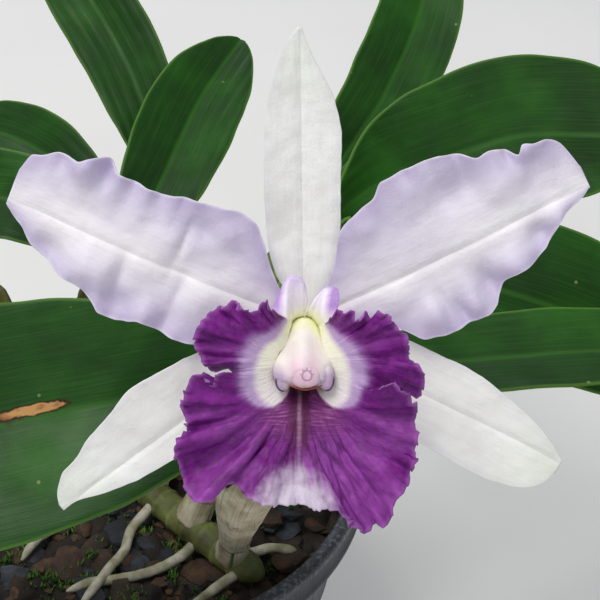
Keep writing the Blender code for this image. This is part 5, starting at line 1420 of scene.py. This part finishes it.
    part = add(tree, "Math", {0: floor_part, 1: 0.75}, operation="MULTIPLY").outputs[0]
    skin = add(tree, "Mix", {0: part, 6: skin.outputs[2], 7: lined.outputs["Color"]}, data_type="RGBA")
    dark = add(tree, "MapRange", {"Value": stain["Z"], "From Min": 0, "From Max": 0.55},
               interpolation_type="SMOOTHSTEP").outputs["Result"]
    span = add(tree, "MapRange", {"Value": share["Y"], "From Min": -22, "From Max": -13},
               interpolation_type="SMOOTHSTEP").outputs["Result"]
    streak = add(tree, "Math", {0: dark, 1: span}, operation="MULTIPLY").outputs[0]
    streak = add(tree, "Math", {0: streak, 1: 0.85}, operation="MULTIPLY").outputs[0]
    skin = add(tree, "Mix", {0: streak, 6: skin.outputs[2], 7: "#521440"}, data_type="RGBA")
    line = add(tree, "MapRange", {"Value": stain["Z"], "From Min": 0.76, "From Max": 0.98, "To Max": 0.7},
               interpolation_type="SMOOTHSTEP").outputs["Result"]
    line = add(tree, "Math", {0: line, 1: span}, operation="MULTIPLY").outputs[0]
    line = add(tree, "Math", {0: line, 1: wrinkle}, operation="MULTIPLY").outputs[0]
    skin = add(tree, "Mix", {0: line, 6: skin.outputs[2], 7: "#D0A8C8"}, data_type="RGBA")
    band = add(tree, "MapRange", {"Value": lay["Y"], "From Min": 0, "From Max": 1.6}).outputs["Result"]
    horn = add(tree, "Mix", {0: band, 6: "#F6EEFA", 7: "#B792D2"}, data_type="RGBA")
    low = add(tree, "MapRange", {"Value": share["Y"], "From Min": 10.5, "From Max": 6.5}).outputs["Result"]
    horn = add(tree, "Mix", {0: low, 6: horn.outputs[2], 7: "#F6F8D4"}, data_type="RGBA")
    tip = add(tree, "MapRange", {"Value": share["Y"], "From Min": 13, "From Max": 17, "To Max": 0.8})
    horn = add(tree, "Mix", {0: tip.outputs["Result"], 6: horn.outputs[2], 7: "#D3BCEA"}, data_type="RGBA")
    is_horn = add(tree, "MapRange", {"Value": stain["X"], "From Min": -5.5, "From Max": -5.9}).outputs["Result"]
    outer = add(tree, "Math", {0: lay["X"], 1: 270}, operation="SUBTRACT").outputs[0]
    outer = add(tree, "Math", {0: outer}, operation="ABSOLUTE").outputs[0]
    outer = add(tree, "Math", {0: outer, 1: 149}, operation="GREATER_THAN").outputs[0]
    is_horn = add(tree, "Math", {0: is_horn, 1: outer}, operation="MULTIPLY").outputs[0]
    skin = add(tree, "Mix", {0: is_horn, 6: skin.outputs[2], 7: horn.outputs[2]}, data_type="RGBA")
    ridge = add(tree, "Math", {0: deep, 1: -0.6, 2: fine}, operation="MULTIPLY_ADD").outputs[0]
    ripple = add(tree, "Math", {0: wrinkle, 1: floor_part, 2: ridge}, operation="MULTIPLY_ADD").outputs[0]
    return skin.outputs[2], ripple


def lip_back_colour(tree, lay, share, spot):
    """The outside of the lip: white over the tube, flushed with paler magenta towards the margin."""
    veins = add(tree, "TexNoise", {"Vector": spot, "Scale": 260, "Detail": 5}).outputs["Fac"]
    stain = add(tree, "SeparateXYZ", {"Vector": add(tree, "Attribute", attribute_name="stain")
                                      .outputs["Vector"]}).outputs
    out = add(tree, "MapRange", {"Value": stain["X"], "From Min": -4, "From Max": 3}).outputs["Result"]
    tone = add(tree, "ValToRGB", {"Fac": veins}, stops=[(0.35, "#8E4A9E"), (0.65, "#B27AC0")])
    skin = add(tree, "Mix", {0: out, 6: "#E9E0EE", 7: tone.outputs["Color"]}, data_type="RGBA")
    return skin.outputs[2], veins


lip = lip_sheet("lip_sheet", [flower_tissue("lip_tissue", lip_colour, 0.5, 0.12, 0.5, 0.6),
                              flower_tissue("lip_back_tissue", lip_back_colour, 0.55, 0.12, 0.4)])
in_place(lip, "lip", "lip")

# Column and anther cap: the waxy club that joins the flower's sexes, arched over the lip's throat. The cap
# sits in a notch at its end like a lid, over the pollen, with a wing at each side of it.
COLUMN = [(0.2, 0.4, 3.1, 3.3), (4, 1.8, 3.6, 4.2), (8, 2.0, 4.5, 4.6), (12, 1.2, 5.6, 4.4),
          (16, 0.2, 6.3, 3.9), (19.5, -0.9, 6.4, 3.4), (21.3, -1.9, 6.0, 2.8), (22.3, -2.6, 4.6, 2.0)]
COLUMN_RIDGE = 0.9
COLUMN_RIDGE_WIDTH = 2.4
CAP_CENTRE = Vector((0.5, -1.5, 21.9))
CAP_SIZE = (3.2, 2.6, 2.1)
CAP_SQUARE = 0.7
CAP_MARK = (0.75, -0.6)
CAP_MARK_RADIUS = 1.0
CAP_MARK_RAYS = 9
WINGS = [((-4.3, -2.7, 20.6), (1.7, 2.7, 1.8)), ((4.95, -2.4, 20.6), (1.7, 2.9, 1.8))]
WING_SHADOW_LINE = (0.66, 0.9)
GAPE = [(-2.9, -3.1, 22.8), (-1.4, -3.6, 23.1), (0.4, -4.0, 23.1), (2.3, -3.6, 23.1), (3.9, -3.1, 22.8)]
GAPE_GIRTH = [(0, 0.1), (0.15, 0.19), (0.85, 0.19), (1, 0.1)]


def column_colour(tree, lay, share, spot):
    """Wax white: yellow-green where it meets the lip, pink on its nose and wings, with fine dark lines, and a
    painted shadow line under the outer edge of each wing.
    """
    x, y = share["X"], share["Y"]
    side = add(tree, "Math", {0: x}, operation="ABSOLUTE").outputs[0]
    cloud = add(tree, "TexNoise", {"Vector": spot, "Scale": 260, "Detail": 4}).outputs["Fac"]
    base = add(tree, "ValToRGB", {"Fac": cloud}, stops=[(0.3, "#E6DED8"), (0.6, "#EEE8E2"), (0.8, "#F6F2EC")])
    low = add(tree, "MapRange", {"Value": y, "From Min": 4.2, "From Max": 0.2}).outputs["Result"]
    middle = add(tree, "MapRange", {"Value": side, "From Min": 4.0, "From Max": 2.2}).outputs["Result"]
    nose = add(tree, "Math", {0: low, 1: middle}, operation="MULTIPLY").outputs[0]
    skin = add(tree, "Mix", {0: nose, 6: base.outputs["Color"], 7: "#DFBDCE"}, data_type="RGBA")
    cheek = add(tree, "MapRange", {"Value": side, "From Min": 2.6, "From Max": 4.4}).outputs["Result"]
    front = add(tree, "MapRange", {"Value": y, "From Min": 1.0, "From Max": -1.2}).outputs["Result"]
    cheek = add(tree, "Math", {0: cheek, 1: front}, operation="MULTIPLY").outputs[0]
    skin = add(tree, "Mix", {0: cheek, 6: skin.outputs[2], 7: "#BFA6C2"}, data_type="RGBA")
    back = add(tree, "MapRange", {"Value": share["Z"], "From Min": 15, "From Max": 7}).outputs["Result"]
    skin = add(tree, "Mix", {0: back, 6: skin.outputs[2], 7: "#EEF1B4"}, data_type="RGBA")
    tan = add(tree, "MapRange", {"Value": y, "From Min": -2.4, "From Max": -4.0, "To Max": 0.75},
              interpolation_type="SMOOTHSTEP").outputs["Result"]
    tan = add(tree, "Math", {0: tan, 1: middle}, operation="MULTIPLY").outputs[0]
    skin = add(tree, "Mix", {0: tan, 6: skin.outputs[2], 7: "#C9A082"}, data_type="RGBA")
    slope = add(tree, "Math", {0: side, 1: 0.27, 2: -4.2}, operation="MULTIPLY_ADD").outputs[0]
    gape = add(tree, "Math", {0: y, 1: slope}, operation="SUBTRACT").outputs[0]
    gape = add(tree, "MapRange", {"Value": gape, "From Min": 0.4, "From Max": 0.7, "To Min": 0.95, "To Max": 0})
    ahead = add(tree, "Math", {0: share["Z"], 1: 22.6}, operation="GREATER_THAN").outputs[0]
    gape = add(tree, "Math", {0: gape.outputs["Result"], 1: ahead}, operation="MULTIPLY").outputs[0]
    skin = add(tree, "Mix", {0: gape, 6: skin.outputs[2], 7: "#74301F"}, data_type="RGBA")
    dx = add(tree, "Math", {0: x, 1: CAP_MARK[0]}, operation="SUBTRACT").outputs[0]
    dy = add(tree, "Math", {0: y, 1: CAP_MARK[1]}, operation="SUBTRACT").outputs[0]
    away = add(tree, "VectorMath", {0: add(tree, "CombineXYZ", {"X": dx, "Y": dy}).outputs["Vector"]},
               operation="LENGTH").outputs["Value"]
    ring = add(tree, "Math", {0: away, 1: CAP_MARK_RADIUS}, operation="SUBTRACT").outputs[0]
    circle = add(tree, "Math", {0: ring}, operation="ABSOLUTE").outputs[0]
    circle = add(tree, "MapRange", {"Value": circle, "From Min": 0.05, "From Max": 0.28, "To Min": 0.6,
                                    "To Max": 0}).outputs["Result"]
    turn = add(tree, "Math", {0: dy, 1: dx}, operation="ARCTAN2").outputs[0]
    ray = add(tree, "Math", {0: turn, 1: CAP_MARK_RAYS}, operation="MULTIPLY").outputs[0]
    ray = add(tree, "Math", {0: ray}, operation="SINE").outputs[0]
    ray = add(tree, "MapRange", {"Value": ray, "From Min": 0.3, "From Max": 0.9, "To Max": 0.6})
    reach = add(tree, "MapRange", {"Value": ring, "From Min": 0.65, "From Max": 0.35}).outputs["Result"]
    beyond = add(tree, "Math", {0: ring, 1: 0}, operation="GREATER_THAN").outputs[0]
    upper = add(tree, "MapRange", {"Value": dy, "From Min": -0.3, "From Max": 0.4}).outputs["Result"]
    ray = add(tree, "Math", {0: ray.outputs["Result"], 1: reach}, operation="MULTIPLY").outputs[0]
    ray = add(tree, "Math", {0: ray, 1: beyond}, operation="MULTIPLY").outputs[0]
    ray = add(tree, "Math", {0: ray, 1: upper}, operation="MULTIPLY").outputs[0]
    mark = add(tree, "Math", {0: circle, 1: ray}, operation="MAXIMUM").outputs[0]
    front = add(tree, "Math", {0: share["Z"], 1: 21.5}, operation="GREATER_THAN").outputs[0]
    mark = add(tree, "Math", {0: mark, 1: front}, operation="MULTIPLY").outputs[0]
    skin = add(tree, "Mix", {0: mark, 6: skin.outputs[2], 7: "#6E4A80"}, data_type="RGBA")
    place = add(tree, "CombineXYZ", {"X": x, "Y": y}).outputs["Vector"]
    # Painted shadow: a dark purple line along each wing's outer lower edge, where the wing meets the lip.
    for (middle_x, middle_y, _), (wide, tall, _) in WINGS:
        pad = add(tree, "Mapping", {"Vector": place, "Location": (middle_x, middle_y, 0),
                                    "Scale": (wide, tall, 1)}, vector_type="TEXTURE").outputs["Vector"]
        ring = add(tree, "VectorMath", {0: pad}, operation="LENGTH").outputs["Value"]
        rise = add(tree, "MapRange", {"Value": ring, "From Min": WING_SHADOW_LINE[0], "From Max": WING_SHADOW_LINE[0] + 0.1})
        fall = add(tree, "MapRange", {"Value": ring, "From Min": WING_SHADOW_LINE[1] + 0.1, "From Max": WING_SHADOW_LINE[1]})
        arc = add(tree, "Math", {0: rise.outputs["Result"], 1: fall.outputs["Result"]}, operation="MULTIPLY")
        parts = add(tree, "SeparateXYZ", {"Vector": pad}).outputs
        outward = add(tree, "Math", {0: parts["X"], 1: math.copysign(1, middle_x)}, operation="MULTIPLY")
        outward = add(tree, "MapRange", {"Value": outward.outputs[0], "From Min": -0.5, "From Max": 0.1})
        lower = add(tree, "MapRange", {"Value": parts["Y"], "From Min": 0.35, "From Max": 0})
        arc = add(tree, "Math", {0: arc.outputs[0], 1: outward.outputs["Result"]}, operation="MULTIPLY")
        arc = add(tree, "Math", {0: arc.outputs[0], 1: lower.outputs["Result"]}, operation="MULTIPLY")
        skin = add(tree, "Mix", {0: arc.outputs[0], 6: skin.outputs[2], 7: "#35103F"}, data_type="RGBA")
    return skin.outputs[2], cloud


def with_places(bm):
    """Notes each point's place in the bloom, then sets the mesh in the plant."""
    share = bm.verts.layers.float_vector.new("share")
    for vert in bm.verts:
        vert[share] = vert.co
    bmesh.ops.transform(bm, matrix=TO_PLANT, verts=bm.verts)
    return bm


def column_body(made):
    """The club, ridged along its back, the pads of its two wings and the lip of the notch below its cap."""
    route = through([(0, y, z) for z, y, _, _ in COLUMN])
    place = [(z - COLUMN[0][0]) / (COLUMN[-1][0] - COLUMN[0][0]) for z, *_ in COLUMN]
    width = [(p, row[2]) for p, row in zip(place, COLUMN)]
    height = [(p, row[3]) for p, row in zip(place, COLUMN)]
    bm = stem(route, width, height, 88, 90)
    middle = [(row[0], row[1]) for row in COLUMN]
    high = [(row[0], row[3]) for row in COLUMN]
    for vert in bm.verts:
        z = vert.co.z
        up = max(0, min(1, (vert.co.y - smooth(middle, z)) / smooth(high, z)))
        ridge = COLUMN_RIDGE * min(1, max(0, (z - 7) / 7)) * math.exp(-((vert.co.x / COLUMN_RIDGE_WIDTH) ** 2))
        vert.co.x *= 1 - 0.16 * up
        vert.co.y += ridge * up
    for centre, size in WINGS:
        pad = bmesh.ops.create_uvsphere(bm, u_segments=28, v_segments=20, radius=1)["verts"]
        bmesh.ops.scale(bm, vec=size, verts=pad)
        bmesh.ops.translate(bm, vec=centre, verts=pad)
    join(bm, stem(through(GAPE), GAPE_GIRTH, None, 10, 40))
    return keep("column_body", with_places(bm), made)


def cap_body(made):
    """The cap: a rounded square cushion with a shallow furrow down its middle."""
    bm = bmesh.new()
    bmesh.ops.create_uvsphere(bm, u_segments=72, v_segments=44, radius=1)
    for vert in bm.verts:
        point = Vector([math.copysign(abs(c) ** CAP_SQUARE, c) for c in vert.co])
        point *= 1 / max(1, point.length ** 0.6)
        point.z -= 0.08 * math.exp(-((point.x / 0.12) ** 2)) * max(0, point.z)
        vert.co = Vector([point[k] * CAP_SIZE[k] for k in range(3)]) + CAP_CENTRE
    return keep("cap_body", with_places(bm), made)


wax = flower_tissue("column_wax", column_colour, 0.4, 0.25, 0.15)
in_place(column_body(wax), "column", "column")
in_place(cap_body(wax), "anther_cap", "anther_cap")
